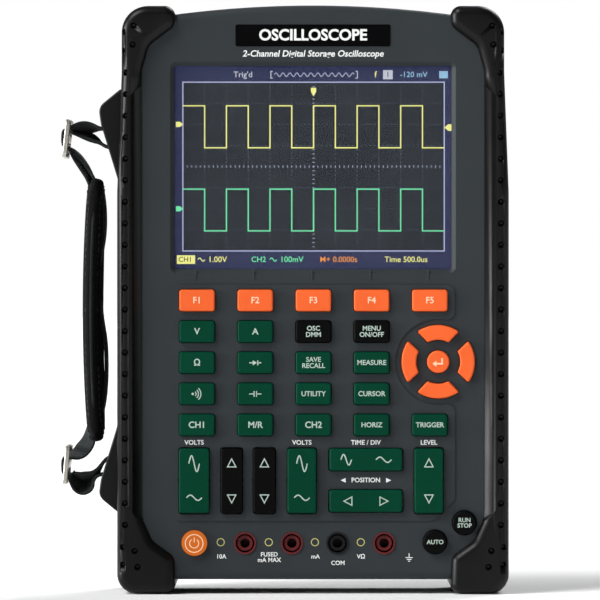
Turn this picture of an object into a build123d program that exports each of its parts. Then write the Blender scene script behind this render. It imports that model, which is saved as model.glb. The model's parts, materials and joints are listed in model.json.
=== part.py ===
from build123d import *
from math import cos, radians, sin
import os

# Handheld two-channel oscilloscope and multimeter, standing upright.
# Millimetres. +Z up, screen and keys face -Y, +X to the viewer's right.
# Everything is modelled about the middle of the case; export moves it along X
# so that the origin is below the middle of the whole object, strap included.

# ---- overall size, over the rubber boots
BODY_WIDTH = 163.0
BODY_HEIGHT = 245.0
BODY_DEPTH = 52.0

# ---- case
WALL = 2.5
BOOT_WALL = 5.5          # rubber beside the case
BOOT_PROUD = 3.5         # rubber in front of the case face
BOOT_BACK = 1.5          # rubber behind the case back
FOOT_HEIGHT = 5.8        # case bottom above the feet
ARCH_RISE = 6.6          # curve of the case top
CASE_CORNER = 14.0
FRONT_ROUND = 3.5
BACK_ROUND = 4.0
SPLIT_FROM_BACK = 27.5   # seam between the two shells

# ---- rubber boots, front view
BOOT_LIP = 4.7           # lap of the rubber over the case face
CAP_REACH = 24.4         # corner cap, from the side towards the middle
CAP_TALL = 32.0          # height over which a corner cap narrows to the rail
CAP_STEP = 15.5
TOP_DRAFT = 1.9          # the side leans in by this above the shoulder
DRAFT_START = 78.0       # shoulder, below the top
DRAFT_LENGTH = 50.0
BOOT_ROUND = 3.8

# ---- display
WINDOW_WIDTH = 115.5
WINDOW_HEIGHT = 84.7
WINDOW_DROP = 67.6       # window middle below the top
WINDOW_BEVEL = 1.7
WINDOW_LAP = 3.0
WINDOW_THICK = 1.5
LCD_FRAME = 4.6          # module around the window
LCD_THICK = 6.5

# ---- name plate
PLATE_WIDTH = 64.5
PLATE_HEIGHT = 9.1
PLATE_DROP = 12.7
PLATE_THICK = 1.0
PLATE_SUNK = 0.8

# ---- keypad
PANEL_RISE = 0.5
PANEL_LEFT = -58.4
PANEL_RIGHT = 59.1
PANEL_BOTTOM = 30.3
PANEL_TOP = 128.6
PANEL_CORNER = 3.5
KEYPAD_X = 0.2
TOP_ROW_Z = 122.0
PITCH_X = 24.2
PITCH_Z = 12.95
KEY_WIDTH = 14.7
KEY_HEIGHT = 9.0
KEY_CORNER = 1.2
KEY_PROUD = 1.8
KEY_EDGE = 0.7
KEY_GAP = 0.3            # key in its hole, all round
KEY_TRAVEL = 1.0
FLANGE_REACH = 1.0
FLANGE_THICK = 1.0
FLANGE_GAP = 0.1         # flange behind the wall
STEM_RADIUS = 1.6
STEM_GAP = 0.5
SWITCH_GAP = 0.2         # stem end to switch, key fully down

# ---- rockers: centre x, centre z, width, height
ROCKERS = {
    "rocker_volts_1": (-49.4, 47.0, 12.7, 26.9),
    "rocker_position_1": (-33.8, 47.0, 9.0, 26.9),
    "rocker_position_2": (-20.2, 47.0, 9.3, 26.9),
    "rocker_volts_2": (-4.6, 47.0, 12.1, 26.9),
    "rocker_level": (48.2, 47.0, 12.1, 26.9),
    "rocker_time": (22.0, 55.8, 30.3, 9.3),
    "rocker_position_time": (22.0, 38.6, 30.3, 9.3),
}
ROCKER_GAP = 0.6         # at the two ends, which swing
ROCKER_STEM_AT = 0.66    # stems, as a share of half the length
ROCKER_PIVOT = 0.9       # radius of the pivot pins behind the wall

# ---- direction pad and round keys
PAD_X = 52.1
PAD_Z = 96.5
PAD_INNER = 9.15
PAD_OUTER = 15.25
PAD_HALF_ANGLE = 34.5
PAD_BITE = 17.9          # the raised panel stops at this radius
PAD_PROUD = 2.1
ENTER_RADIUS = 4.65
ROUND_KEYS = {
    "key_power": (-49.4, 21.0, 5.1),
    "key_auto": (50.8, 21.5, 4.95),
    "key_run_stop": (63.0, 29.5, 5.0),
}

# ---- 4 mm input sockets
SOCKET_Z = 21.0
RED_SOCKET_X = (-28.3, -8.8, 29.6)
BLACK_SOCKET_X = 10.2
SOCKET_RADIUS = 4.6
SHROUD_BORE = 3.9
CONTACT_RADIUS = 3.2
CONTACT_BORE = 2.0
SOCKET_LENGTH = 16.0
CONTACT_SUNK = 1.0
SOCKET_FLANGE = 1.2

# ---- inner boards
MAT_THICK = 1.2
BOARD_THICK = 1.6
BOARD_INSET = 1.5        # board edge to the inside of the case
SWITCH_TALL = 0.4
MAIN_BOARD_DEPTH = 16.5  # its front, behind the case face
POST_RADIUS = 2.2
POSTS = ((-38.2, 21.0), (39.8, 21.0), (-36.2, 115.5), (12.2, 115.5))

# ---- case screws
SCREW_FROM_SIDE = 14.0
SCREW_LOW = 15.0
SCREW_HIGH_DROP = 15.5
BOSS_RADIUS = 4.5
SCREW_RADIUS = 1.25
SCREW_PILOT = 1.3
SCREW_HEAD_RADIUS = 2.7
SCREW_HEAD_TALL = 2.0
COUNTERBORE_RADIUS = 3.1
COUNTERBORE_DEPTH = 12.0
THREAD_LENGTH = 9.0

# ---- connector bay on top
BAY_WIDTH = 104.0
BAY_DROP = 18.0          # bay floor below the top of the arch
BAY_WALL = 2.0
BAY_BACK_WALL = 4.5
FLOOR_THICK = 2.5
BNC_SPACING = 60.0
BNC_RADIUS = 4.8
BNC_BORE = 4.05
BNC_TALL = 12.0
BNC_FLANGE = 6.8
BNC_NECK = 5.4
PORT_WIDTH = 28.0
PORT_DEPTH = 13.0
PORT_COVER_THICK = 2.0
PORT_HINGE_RADIUS = 1.3
PORT_PIN_RADIUS = 0.65
PORT_EAR = 2.4

# ---- battery
BATTERY_WIDTH = 60.0
BATTERY_TALL = 84.0
BATTERY_THICK = 16.0
BATTERY_Z = 82.0
BATTERY_GAP = 0.3
BAY_FRAME = 1.6
COVER_LAP = 4.0
COVER_THICK = 2.2
COVER_GAP = 0.2
COVER_EAR = 8.0

# ---- kickstand
STAND_WIDTH = 104.0
STAND_TOP_Z = 150.0      # hinge height
STAND_LOW_Z = 16.0
STAND_ARM = 11.0
STAND_FOOT = 13.0
STAND_THICK = 4.0
STAND_GAP = 0.4
STAND_RECESS = STAND_THICK + 0.5
STAND_FLOOR = 2.2
STAND_PIN_RADIUS = 1.2
STAND_PIN_LENGTH = 3.0
PIN_CLEARANCE = 0.08
FINGER_NOTCH = 24.0

# ---- hand strap, on the left
STRAP_WIDTH = 18.0
WEB_THICK = 1.4
LUG_DISTANCE = 137.6     # between the two bars
LUG_BAR_OUT = 3.0        # bar, outside the rubber
LUG_BAR_RADIUS = 1.4
LUG_WIDTH = 28.0
LUG_SLOT_WIDTH = 21.6
LUG_SLOT_DEPTH = 6.8     # slot floor, inside the bar
LUG_SLOT_HALF = 5.6
LOOP_RADIUS = 3.95       # middle of the webbing round the bar
BUCKLE_OUT = 21.7        # buckle, outside the rubber
BUCKLE_THICK = 2.0
BUCKLE_TALL = 16.0
BUCKLE_WIDTH = 25.0
BUCKLE_SLOT = 4.5
BUCKLE_BAR = 3.0
PAD_TALL = 112.0
PAD_DROP = 3.5           # pad middle below the middle of the lugs
PAD_SEAM = 5.5           # webbing sewn into the pad
PAD_WIDE = 32.0
PAD_CLEAR = 4.6          # pad, outside the rubber
PAD_THICK = 9.5
PAD_BOW = 1.8
PAD_ROUND = 2.8

# ---- places worked out from the sizes above
HALF_WIDTH = BODY_WIDTH / 2
CASE_HALF = HALF_WIDTH - BOOT_WALL
FRONT_Y = -BODY_DEPTH / 2
REAR_Y = BODY_DEPTH / 2
FACE_Y = FRONT_Y + BOOT_PROUD
BACK_Y = REAR_Y - BOOT_BACK
SPLIT_Y = BACK_Y - SPLIT_FROM_BACK
INNER_Y = FACE_Y + WALL
KEY_TOP_Y = FACE_Y - PANEL_RISE - KEY_PROUD
FLANGE_Y = INNER_Y + FLANGE_GAP
FLANGE_END = FLANGE_Y + FLANGE_THICK
ROCKER_PIVOT_Y = FLANGE_Y + ROCKER_PIVOT
MAT_Y = FLANGE_END + KEY_TRAVEL + STEM_GAP
MAT_END = MAT_Y + MAT_THICK
STEM_END = MAT_END + 2.0
KEY_BOARD_Y = STEM_END + KEY_TRAVEL + SWITCH_GAP + SWITCH_TALL
KEY_BOARD_END = KEY_BOARD_Y + BOARD_THICK
MAIN_BOARD_Y = FACE_Y + MAIN_BOARD_DEPTH
MAIN_BOARD_END = MAIN_BOARD_Y + BOARD_THICK
WINDOW_Z = BODY_HEIGHT - WINDOW_DROP
PLATE_Z = BODY_HEIGHT - PLATE_DROP
LCD_LOW = WINDOW_Z - WINDOW_HEIGHT / 2 - LCD_FRAME
BAY_FLOOR_Z = BODY_HEIGHT - BAY_DROP
BAY_FRONT_Y = SPLIT_Y + BAY_WALL
BAY_REAR_Y = BACK_Y - BAY_BACK_WALL
BAY_MID_Y = (BAY_FRONT_Y + BAY_REAR_Y) / 2
SCREW_X = HALF_WIDTH - SCREW_FROM_SIDE
SCREW_Z = (SCREW_LOW, BODY_HEIGHT / 2, BODY_HEIGHT - SCREW_HIGH_DROP)
STRAP_Z = BODY_HEIGHT / 2 - 1.0
LUG_X = -HALF_WIDTH - LUG_BAR_OUT
LUG_Z = STRAP_Z + LUG_DISTANCE / 2
BUCKLE_X = -HALF_WIDTH - BUCKLE_OUT
STRAP_LEFT = BUCKLE_X - BUCKLE_THICK / 2 - 0.2 - WEB_THICK
CENTRE_SHIFT = -(STRAP_LEFT + HALF_WIDTH) / 2
STAND_AXIS_Y = BACK_Y - STAND_THICK / 2 - 0.2


def front_slab(sketch, front, back):
    """A sketch drawn in front view (X across, Z up), between two depths."""
    return extrude(Plane.XZ.offset(-back) * sketch, amount=back - front)


def block(x0, x1, y0, y1, z0, z1):
    return Pos((x0 + x1) / 2, (y0 + y1) / 2, (z0 + z1) / 2) * Box(x1 - x0, y1 - y0, z1 - z0)


def rod_y(x, z, radius, y0, y1):
    return front_slab(Pos(x, z) * Circle(radius), y0, y1)


def rod_x(y, z, radius, x0, x1):
    return extrude(Plane.YZ.offset(x0) * Pos(y, z) * Circle(radius), amount=x1 - x0)


def rod_z(x, y, radius, z0, z1):
    return extrude(Pos(x, y, z0) * Circle(radius), amount=z1 - z0)


def total(shapes):
    """Fuse a list of shapes."""
    first, *rest = shapes
    return first.fuse(*rest) if rest else first


# ------------------------------------------------------------------ case

def case_outline(inset=0.0):
    half = CASE_HALF - inset
    low = FOOT_HEIGHT + inset
    crown = BODY_HEIGHT - inset
    shoulder = crown - ARCH_RISE
    outline = Polyline((-half, shoulder), (-half, low), (half, low), (half, shoulder))
    outline += ThreePointArc((half, shoulder), (0, crown), (-half, shoulder))
    return fillet(make_face(outline).vertices(), CASE_CORNER - inset)


def case_envelope():
    """The closed outer form of the two shells together."""
    solid = front_slab(case_outline(), FACE_Y, BACK_Y)
    front_edges = solid.faces().sort_by(Axis.Y)[0].edges()
    solid = fillet(front_edges, FRONT_ROUND)
    back_edges = solid.faces().sort_by(Axis.Y)[-1].edges()
    return fillet(back_edges, BACK_ROUND)


def window_sketch(grow=0.0):
    return Pos(0, WINDOW_Z) * RectangleRounded(WINDOW_WIDTH + 2 * grow, WINDOW_HEIGHT + 2 * grow, 1.0 + grow)


def panel_outline():
    """The raised key panel, with a round bite beside the direction pad."""
    middle = ((PANEL_LEFT + PANEL_RIGHT) / 2, (PANEL_BOTTOM + PANEL_TOP) / 2)
    size = (PANEL_RIGHT - PANEL_LEFT, PANEL_TOP - PANEL_BOTTOM)
    outline = Pos(*middle) * Rectangle(*size)
    corner = outline.vertices().sort_by(Axis.X)[-2:].sort_by(Axis.Y)[0]
    outline = chamfer(corner, 9.0)
    outline = outline - Pos(PAD_X, PAD_Z) * Circle(PAD_BITE)
    return fillet(outline.vertices(), PANEL_CORNER)


def boss_places():
    return [(side * SCREW_X, z) for side in (-1, 1) for z in SCREW_Z]


def front_housing():
    shell = split(case_envelope(), Plane.XZ.offset(-SPLIT_Y), keep=Keep.TOP)
    shell -= front_slab(case_outline(WALL), INNER_Y, SPLIT_Y + 1)
    shell += front_slab(panel_outline(), FACE_Y - PANEL_RISE, FACE_Y + 1)
    posts = [rod_y(x, z, POST_RADIUS, INNER_Y - 1, KEY_BOARD_Y) for x, z in POSTS]
    for x, z in boss_places():
        posts.append(rod_y(x, z, BOSS_RADIUS, INNER_Y - 1, MAIN_BOARD_Y))
        posts.append(rod_y(x, z, BOSS_RADIUS - 1.5, INNER_Y - 1, SPLIT_Y))
    shell = total([shell, *posts])
    pilots = [rod_y(x, z, SCREW_PILOT, SPLIT_Y - THREAD_LENGTH - 1, SPLIT_Y + 1) for x, z in boss_places()]
    bevel = loft([
        Plane.XZ.offset(-FACE_Y) * window_sketch(WINDOW_BEVEL),
        Plane.XZ.offset(-FACE_Y - WINDOW_BEVEL) * window_sketch(),
    ])
    opening = front_slab(window_sketch(), FACE_Y - 1, INNER_Y + 1)
    plate = front_slab(Pos(0, PLATE_Z) * plate_sketch(), FACE_Y - 1, FACE_Y + PLATE_SUNK)
    holes = [front_slab(sketch, FACE_Y - 2, INNER_Y + 1) for sketch in key_holes()]
    sockets = [rod_y(x, SOCKET_Z, SOCKET_RADIUS, FACE_Y - 1, INNER_Y + 1) for x in socket_places()]
    return shell.cut(*pilots, bevel, opening, plate, *holes, *sockets)


def rear_housing():
    envelope = case_envelope()
    shell = split(envelope, Plane.XZ.offset(-SPLIT_Y), keep=Keep.BOTTOM)
    shell -= front_slab(case_outline(WALL), SPLIT_Y - 1, BACK_Y - WALL)
    head_y = BACK_Y - COUNTERBORE_DEPTH
    posts = [rod_y(x, z, BOSS_RADIUS, SPLIT_Y, BACK_Y - 1) for x, z in boss_places()]
    half_bay = BAY_WIDTH / 2
    bay = block(-half_bay - BAY_WALL, half_bay + BAY_WALL, SPLIT_Y, BACK_Y,
                BAY_FLOOR_Z - FLOOR_THICK, BODY_HEIGHT)
    backing = stand_outline(STAND_GAP + 2.0)
    backing = front_slab(backing, BACK_Y - STAND_RECESS - STAND_FLOOR, BACK_Y)
    frame = front_slab(battery_outline(BATTERY_GAP + BAY_FRAME), BACK_Y - COVER_THICK - BATTERY_THICK, BACK_Y)
    shell = total([shell, *posts, bay & envelope, backing & envelope, frame & envelope])
    cuts = [rod_y(x, z, SCREW_RADIUS + 0.3, SPLIT_Y - 1, head_y) for x, z in boss_places()]
    cuts += [rod_y(x, z, COUNTERBORE_RADIUS, head_y, BACK_Y + 1) for x, z in boss_places()]
    cuts.append(block(-half_bay, half_bay, BAY_FRONT_Y, BAY_REAR_Y, BAY_FLOOR_Z, BODY_HEIGHT + 1))
    cuts += [rod_z(x, BAY_MID_Y, BNC_NECK, BAY_FLOOR_Z - 4, BAY_FLOOR_Z + 1) for x in bnc_places()]
    cuts.append(front_slab(stand_outline(STAND_GAP), BACK_Y - STAND_RECESS, BACK_Y + 1))
    pin_reach = STAND_WIDTH / 2 + STAND_PIN_LENGTH + 0.2
    cuts.append(rod_x(STAND_AXIS_Y, STAND_TOP_Z, STAND_PIN_RADIUS + PIN_CLEARANCE, -pin_reach, pin_reach))
    cuts.append(front_slab(battery_outline(BATTERY_GAP), BACK_Y - COVER_THICK - BATTERY_THICK - 1, BACK_Y + 1))
    cuts.append(front_slab(cover_outline(COVER_GAP), BACK_Y - COVER_THICK, BACK_Y + 1))
    cuts += [rod_y(0, z, SCREW_PILOT, BACK_Y - COVER_THICK - 6, BACK_Y) for z in cover_screw_z()]
    cuts.append(rod_x(BACK_Y + 2, STAND_LOW_Z, 5.0, -FINGER_NOTCH / 2, FINGER_NOTCH / 2))
    cuts.append(port_opening())
    shell = shell.cut(*cuts)
    return total([shell, *port_ears()])


# ----------------------------------------------------------------- boots

def boot_outline(side):
    """Front view of one rubber boot: a rail with a cap at each corner."""
    outer = HALF_WIDTH
    rail = CASE_HALF - BOOT_LIP
    tip = outer - CAP_REACH
    points = [
        (outer, 0.0),
        (outer, BODY_HEIGHT - DRAFT_START),
        (outer - TOP_DRAFT, BODY_HEIGHT - DRAFT_START + DRAFT_LENGTH),
        (outer - TOP_DRAFT, BODY_HEIGHT - 0.4),
        (tip, BODY_HEIGHT - 0.4),
        (tip + 0.5, BODY_HEIGHT - 9.0),
        (rail - 3.0, BODY_HEIGHT - CAP_STEP - 1.5),
        (rail, BODY_HEIGHT - CAP_TALL + 4.0),
        (rail, CAP_TALL),
        (rail - 4.5, CAP_TALL - 10.0),
        (tip + 0.6, CAP_STEP),
        (tip, 0.0),
    ]
    tight = BOOT_ROUND + 0.4
    radii = [8.0, 60.0, 60.0, 11.0, tight, tight, 6.0, 12.0, 12.0, 6.0, tight, tight]
    points = [(side * x, z) for x, z in points]
    return make_face(FilletPolyline(*points, radius=radii, close=True))


def boot(side):
    solid = front_slab(boot_outline(side), FRONT_Y, REAR_Y)
    ends = solid.faces().sort_by(Axis.Y)
    rims = ends[0].edges() + ends[-1].edges()
    solid = fillet(rims, BOOT_ROUND)
    solid -= case_envelope()
    if side < 0:
        solid = solid.cut(*[lug_block(z, flip) for z, flip in lug_places()])
    return solid


# --------------------------------------------------------------- display

def plate_sketch():
    return RectangleRounded(PLATE_WIDTH, PLATE_HEIGHT, 0.8)


def name_plate():
    return front_slab(Pos(0, PLATE_Z) * plate_sketch(), FACE_Y + PLATE_SUNK - PLATE_THICK, FACE_Y + PLATE_SUNK)


def screen_window():
    return front_slab(window_sketch(WINDOW_LAP), INNER_Y, INNER_Y + WINDOW_THICK)


def lcd_module():
    y = INNER_Y + WINDOW_THICK
    return front_slab(window_sketch(LCD_FRAME), y, y + LCD_THICK)


# ------------------------------------------------------------------ keys

def grid_place(column, row):
    return KEYPAD_X + (column - 2) * PITCH_X, TOP_ROW_Z - row * PITCH_Z


def key_sketches():
    """Every push key: name -> (its outline in front view, how far it stands proud)."""
    sketches = {}
    names = [
        ["key_f1", "key_f2", "key_f3", "key_f4", "key_f5"],
        ["key_v", "key_a", "key_osc_dmm", "key_menu", None],
        ["key_ohm", "key_diode", "key_save_recall", "key_measure", None],
        ["key_buzzer", "key_capacitor", "key_utility", "key_cursor", None],
        ["key_ch1", "key_math_ref", "key_ch2", "key_horizontal", "key_trigger"],
    ]
    rectangle = RectangleRounded(KEY_WIDTH, KEY_HEIGHT, KEY_CORNER)
    for row, line in enumerate(names):
        for column, name in enumerate(line):
            if name:
                sketches[name] = (Pos(*grid_place(column, row)) * rectangle, KEY_TOP_Y)
    for name, (x, z, radius) in ROUND_KEYS.items():
        sketches[name] = (Pos(x, z) * Circle(radius), FACE_Y - PAD_PROUD)
    for name, turn in {"arrow_right": 0, "arrow_up": 90, "arrow_left": 180, "arrow_down": 270}.items():
        sketches[name] = (Pos(PAD_X, PAD_Z) * Rot(0, 0, turn) * arrow_sketch(), FACE_Y - PAD_PROUD)
    sketches["key_enter"] = (Pos(PAD_X, PAD_Z) * Circle(ENTER_RADIUS), FACE_Y - PAD_PROUD)
    return sketches


def arrow_sketch():
    """One quarter key of the direction pad, pointing along +X."""
    def at(radius, angle):
        return radius * cos(radians(angle)), radius * sin(radians(angle))

    a = PAD_HALF_ANGLE
    inner_a = a * 0.82
    edges = ThreePointArc(at(PAD_OUTER, -a), at(PAD_OUTER, 0), at(PAD_OUTER, a))
    edges += Line(at(PAD_OUTER, a), at(PAD_INNER, inner_a))
    edges += ThreePointArc(at(PAD_INNER, inner_a), at(PAD_INNER, 0), at(PAD_INNER, -inner_a))
    edges += Line(at(PAD_INNER, -inner_a), at(PAD_OUTER, -a))
    return fillet(make_face(edges).vertices(), 0.7)


def rocker_sketch(name, grow=0.0, end_grow=0.0):
    x, z, width, height = ROCKERS[name]
    tall = height > width
    across = (width if tall else height) + 2 * grow
    along = (height if tall else width) + 2 * end_grow
    size = (across, along) if tall else (along, across)
    return Pos(x, z) * RectangleRounded(*size, KEY_CORNER + min(grow, end_grow))


def key_holes():
    holes = [offset(sketch, KEY_GAP, kind=Kind.ARC) for sketch, _ in key_sketches().values()]
    holes += [rocker_sketch(name, KEY_GAP, ROCKER_GAP) for name in ROCKERS]
    return holes


def stem_place(sketch):
    centre = sketch.center()
    return centre.X, centre.Y


def cap_with_round_edge(sketch, front, back):
    cap = front_slab(sketch, front, back)
    return fillet(cap.faces().sort_by(Axis.Y)[0].edges(), KEY_EDGE)


def push_key(sketch, front):
    cap = cap_with_round_edge(sketch, front, FLANGE_Y + 0.2)
    flange = front_slab(offset(sketch, FLANGE_REACH, kind=Kind.ARC), FLANGE_Y, FLANGE_END)
    x, z = stem_place(sketch)
    stem = rod_y(x, z, STEM_RADIUS, FLANGE_END - 0.2, STEM_END)
    return total([cap, flange, stem])


def rocker_stems(name):
    x, z, width, height = ROCKERS[name]
    reach = ROCKER_STEM_AT * max(width, height) / 2
    if height > width:
        return [(x, z - reach), (x, z + reach)]
    return [(x - reach, z), (x + reach, z)]


def rocker(name):
    """A two-way key that rocks about a pivot across its middle."""
    x, z, width, height = ROCKERS[name]
    cap = cap_with_round_edge(rocker_sketch(name), KEY_TOP_Y, FLANGE_END)
    reach = min(width, height) / 2 + FLANGE_REACH
    if height > width:
        pins = rod_x(ROCKER_PIVOT_Y, z, ROCKER_PIVOT, x - reach, x + reach)
    else:
        pins = rod_z(x, ROCKER_PIVOT_Y, ROCKER_PIVOT, z - reach, z + reach)
    stems = [rod_y(a, b, STEM_RADIUS, FLANGE_END - 0.2, STEM_END) for a, b in rocker_stems(name)]
    return total([cap, pins, *stems])


def all_stems():
    places = [stem_place(sketch) for sketch, _ in key_sketches().values()]
    for name in ROCKERS:
        places += rocker_stems(name)
    return places


def socket_places():
    return [*RED_SOCKET_X, BLACK_SOCKET_X]


def board_outline(top):
    """A board that fills the inside of the case below a height."""
    limit = Pos(0, top / 2) * Rectangle(2 * CASE_HALF, top)
    return case_outline(WALL + BOARD_INSET) & limit


def board_cuts(y0, y1, boss):
    cuts = [rod_y(x, z, boss, y0 - 1, y1 + 1) for x, z in boss_places()]
    cuts += [rod_y(x, SOCKET_Z, SOCKET_RADIUS + 0.6, y0 - 1, y1 + 1) for x in socket_places()]
    return cuts


def keypad_mat():
    outline = board_outline(LCD_LOW - 1.0)
    rim = outline - offset(outline, -2.0)
    mat = front_slab(outline, MAT_Y, MAT_END) + front_slab(rim, MAT_END - 0.2, KEY_BOARD_Y)
    cuts = [rod_y(x, z, STEM_RADIUS + STEM_GAP, MAT_Y - 1, MAT_END + 1) for x, z in all_stems()]
    cuts += [rod_y(x, z, POST_RADIUS + 0.2, MAT_Y - 1, MAT_END + 1) for x, z in POSTS]
    cuts += board_cuts(MAT_Y, KEY_BOARD_Y, BOSS_RADIUS + 0.3)
    return mat.cut(*cuts)


def key_board():
    board = front_slab(board_outline(LCD_LOW - 1.0), KEY_BOARD_Y, KEY_BOARD_END)
    switches = [rod_y(x, z, 1.8, KEY_BOARD_Y - SWITCH_TALL, KEY_BOARD_Y + 0.2) for x, z in all_stems()]
    return total([board, *switches]).cut(*board_cuts(KEY_BOARD_Y, KEY_BOARD_END, BOSS_RADIUS + 0.3))


def main_board():
    board = front_slab(board_outline(BAY_FLOOR_Z - FLOOR_THICK - 2), MAIN_BOARD_Y, MAIN_BOARD_END)
    chips = [
        block(-30, -8, MAIN_BOARD_END - 0.2, MAIN_BOARD_END + 2.0, 150, 172),
        block(6, 20, MAIN_BOARD_END - 0.2, MAIN_BOARD_END + 1.6, 155, 169),
        block(-44, 44, MAIN_BOARD_END - 0.2, MAIN_BOARD_END + 2.4, 186, 214),
    ]
    cuts = board_cuts(MAIN_BOARD_Y, MAIN_BOARD_END, BOSS_RADIUS - 1.3)
    return total([board, *chips]).cut(*cuts)


# --------------------------------------------------------------- sockets

def input_socket(x):
    """Shrouded 4 mm socket: outer insulator, sunk contact tube, closed bottom."""
    front = FACE_Y - 0.4
    back = front + SOCKET_LENGTH
    body = rod_y(x, SOCKET_Z, SOCKET_RADIUS, front, back)
    body += rod_y(x, SOCKET_Z, SOCKET_RADIUS + 0.5, INNER_Y, INNER_Y + SOCKET_FLANGE)
    gap = rod_y(x, SOCKET_Z, SHROUD_BORE, front - 1, back - 4)
    gap -= rod_y(x, SOCKET_Z, CONTACT_RADIUS, front + CONTACT_SUNK, back)
    bore = rod_y(x, SOCKET_Z, CONTACT_BORE, front - 1, back - 1.5)
    return body.cut(gap, bore)


# ------------------------------------------------------------ connectors

def bnc_places():
    return (-BNC_SPACING / 2, BNC_SPACING / 2)


def bnc_connector(x):
    """Bayonet jack standing in the bay, with its two locking studs."""
    z = BAY_FLOOR_Z
    body = rod_z(x, BAY_MID_Y, BNC_FLANGE, z, z + 2.0)
    body += rod_z(x, BAY_MID_Y, BNC_NECK - 0.1, z - 7.0, z + 0.5)
    body += rod_z(x, BAY_MID_Y, BNC_RADIUS, z, z + BNC_TALL)
    studs = rod_x(BAY_MID_Y, z + BNC_TALL - 3.5, 1.0, x - BNC_RADIUS - 0.8, x + BNC_RADIUS + 0.8)
    body += studs
    body -= rod_z(x, BAY_MID_Y, BNC_BORE, z + 3.0, z + BNC_TALL + 1)
    body += rod_z(x, BAY_MID_Y, 2.4, z + 2.5, z + BNC_TALL - 2.0)
    return body - rod_z(x, BAY_MID_Y, 0.7, z + 5.0, z + BNC_TALL)


def port_opening():
    """The two socket mouths below the rubber flap."""
    z = BAY_FLOOR_Z
    usb = block(-10.6, -1.4, BAY_MID_Y - 4.1, BAY_MID_Y + 4.1, z - 4, z + 1)
    power = rod_z(7.0, BAY_MID_Y, 3.9, z - 4, z + 1)
    return usb + power


def port_connectors():
    z = BAY_FLOOR_Z
    usb = block(-10.5, -1.5, BAY_MID_Y - 4.0, BAY_MID_Y + 4.0, z - 9, z)
    usb -= block(-9.7, -2.3, BAY_MID_Y - 3.2, BAY_MID_Y + 3.2, z - 7, z + 1)
    usb += block(-8.5, -3.5, BAY_MID_Y - 1.2, BAY_MID_Y + 1.2, z - 8, z - 1.5)
    power = rod_z(7.0, BAY_MID_Y, 3.8, z - 9, z)
    power -= rod_z(7.0, BAY_MID_Y, 2.75, z - 8, z + 1)
    power += rod_z(7.0, BAY_MID_Y, 0.95, z - 8.5, z - 1)
    return Compound([usb, power])


def port_hinge_place():
    return BAY_MID_Y + PORT_DEPTH / 2 + PORT_HINGE_RADIUS, BAY_FLOOR_Z + 0.3 + PORT_HINGE_RADIUS


def port_cover():
    y, z = port_hinge_place()
    half = PORT_WIDTH / 2
    low = z - PORT_HINGE_RADIUS
    flap = block(-half, half, BAY_MID_Y - PORT_DEPTH / 2, y, low, low + PORT_COVER_THICK)
    flap = fillet(flap.edges().filter_by(Axis.Z).sort_by(Axis.Y)[:2], 2.0)
    flap += rod_x(y, z, PORT_HINGE_RADIUS, -half, half)
    flap += block(-4.0, 4.0, BAY_MID_Y - PORT_DEPTH / 2 - 2.0, BAY_MID_Y, low + 0.5, low + PORT_COVER_THICK)
    return flap + rod_x(y, z, PORT_PIN_RADIUS, -half - 2.0, half + 2.0)


def port_ears():
    y, z = port_hinge_place()
    ears = []
    for side in (-1, 1):
        inner = side * (PORT_WIDTH / 2 + 0.3)
        outer = inner + side * PORT_EAR
        x0, x1 = sorted((inner, outer))
        ear = block(x0, x1, y - 1.8, y + 1.8, BAY_FLOOR_Z - 0.5, z + 1.6)
        ears.append(ear - rod_x(y, z, PORT_PIN_RADIUS + PIN_CLEARANCE, x0 - 1, x1 + 1))
    return ears


# --------------------------------------------------------------- battery

def battery_outline(grow=0.0):
    return Pos(0, BATTERY_Z) * Rectangle(BATTERY_WIDTH + 2 * grow, BATTERY_TALL + 2 * grow)


def cover_outline(grow=0.0):
    width = BATTERY_WIDTH + 2 * COVER_LAP + 2 * grow
    tall = BATTERY_TALL + 2 * COVER_EAR + 2 * grow
    return Pos(0, BATTERY_Z) * RectangleRounded(width, tall, 3.0 + grow)


def cover_screw_z():
    reach = BATTERY_TALL / 2 + COVER_EAR / 2 + 0.6
    return (BATTERY_Z - reach, BATTERY_Z + reach)


def battery_pack():
    front = BACK_Y - COVER_THICK - BATTERY_THICK
    pack = front_slab(battery_outline(), front, BACK_Y - COVER_THICK)
    return fillet(pack.edges().filter_by(Axis.Y), 1.5)


def battery_cover():
    cover = front_slab(cover_outline(), BACK_Y - COVER_THICK, BACK_Y)
    ribs = []
    for i in range(5):
        z = BATTERY_Z + (i - 2) * 5.0
        ribs.append(block(-12, 12, BACK_Y - 0.7, BACK_Y + 1, z - 0.8, z + 0.8))
    holes = [rod_y(0, z, SCREW_RADIUS + 0.15, BACK_Y - 4, BACK_Y + 1) for z in cover_screw_z()]
    sinks = [rod_y(0, z, SCREW_HEAD_RADIUS + 0.1, BACK_Y - 1.4, BACK_Y + 1) for z in cover_screw_z()]
    return cover.cut(*ribs, *holes, *sinks)


def screw(x, z, seat, length, head):
    solid = rod_y(x, z, SCREW_HEAD_RADIUS, seat, seat + head)
    solid += rod_y(x, z, SCREW_RADIUS, seat - length, seat + 0.1)
    cross = block(x - 1.6, x + 1.6, seat + head - 0.9, seat + head + 1, z - 0.35, z + 0.35)
    cross += block(x - 0.35, x + 0.35, seat + head - 0.9, seat + head + 1, z - 1.6, z + 1.6)
    return solid - cross


def case_screws():
    seat = BACK_Y - COUNTERBORE_DEPTH
    length = seat - SPLIT_Y + THREAD_LENGTH
    solids = [screw(x, z, seat, length, SCREW_HEAD_TALL) for x, z in boss_places()]
    solids += [screw(0, z, BACK_Y - 1.4, 5.5, 1.3) for z in cover_screw_z()]
    return Compound(solids)


# ------------------------------------------------------------- kickstand

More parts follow.
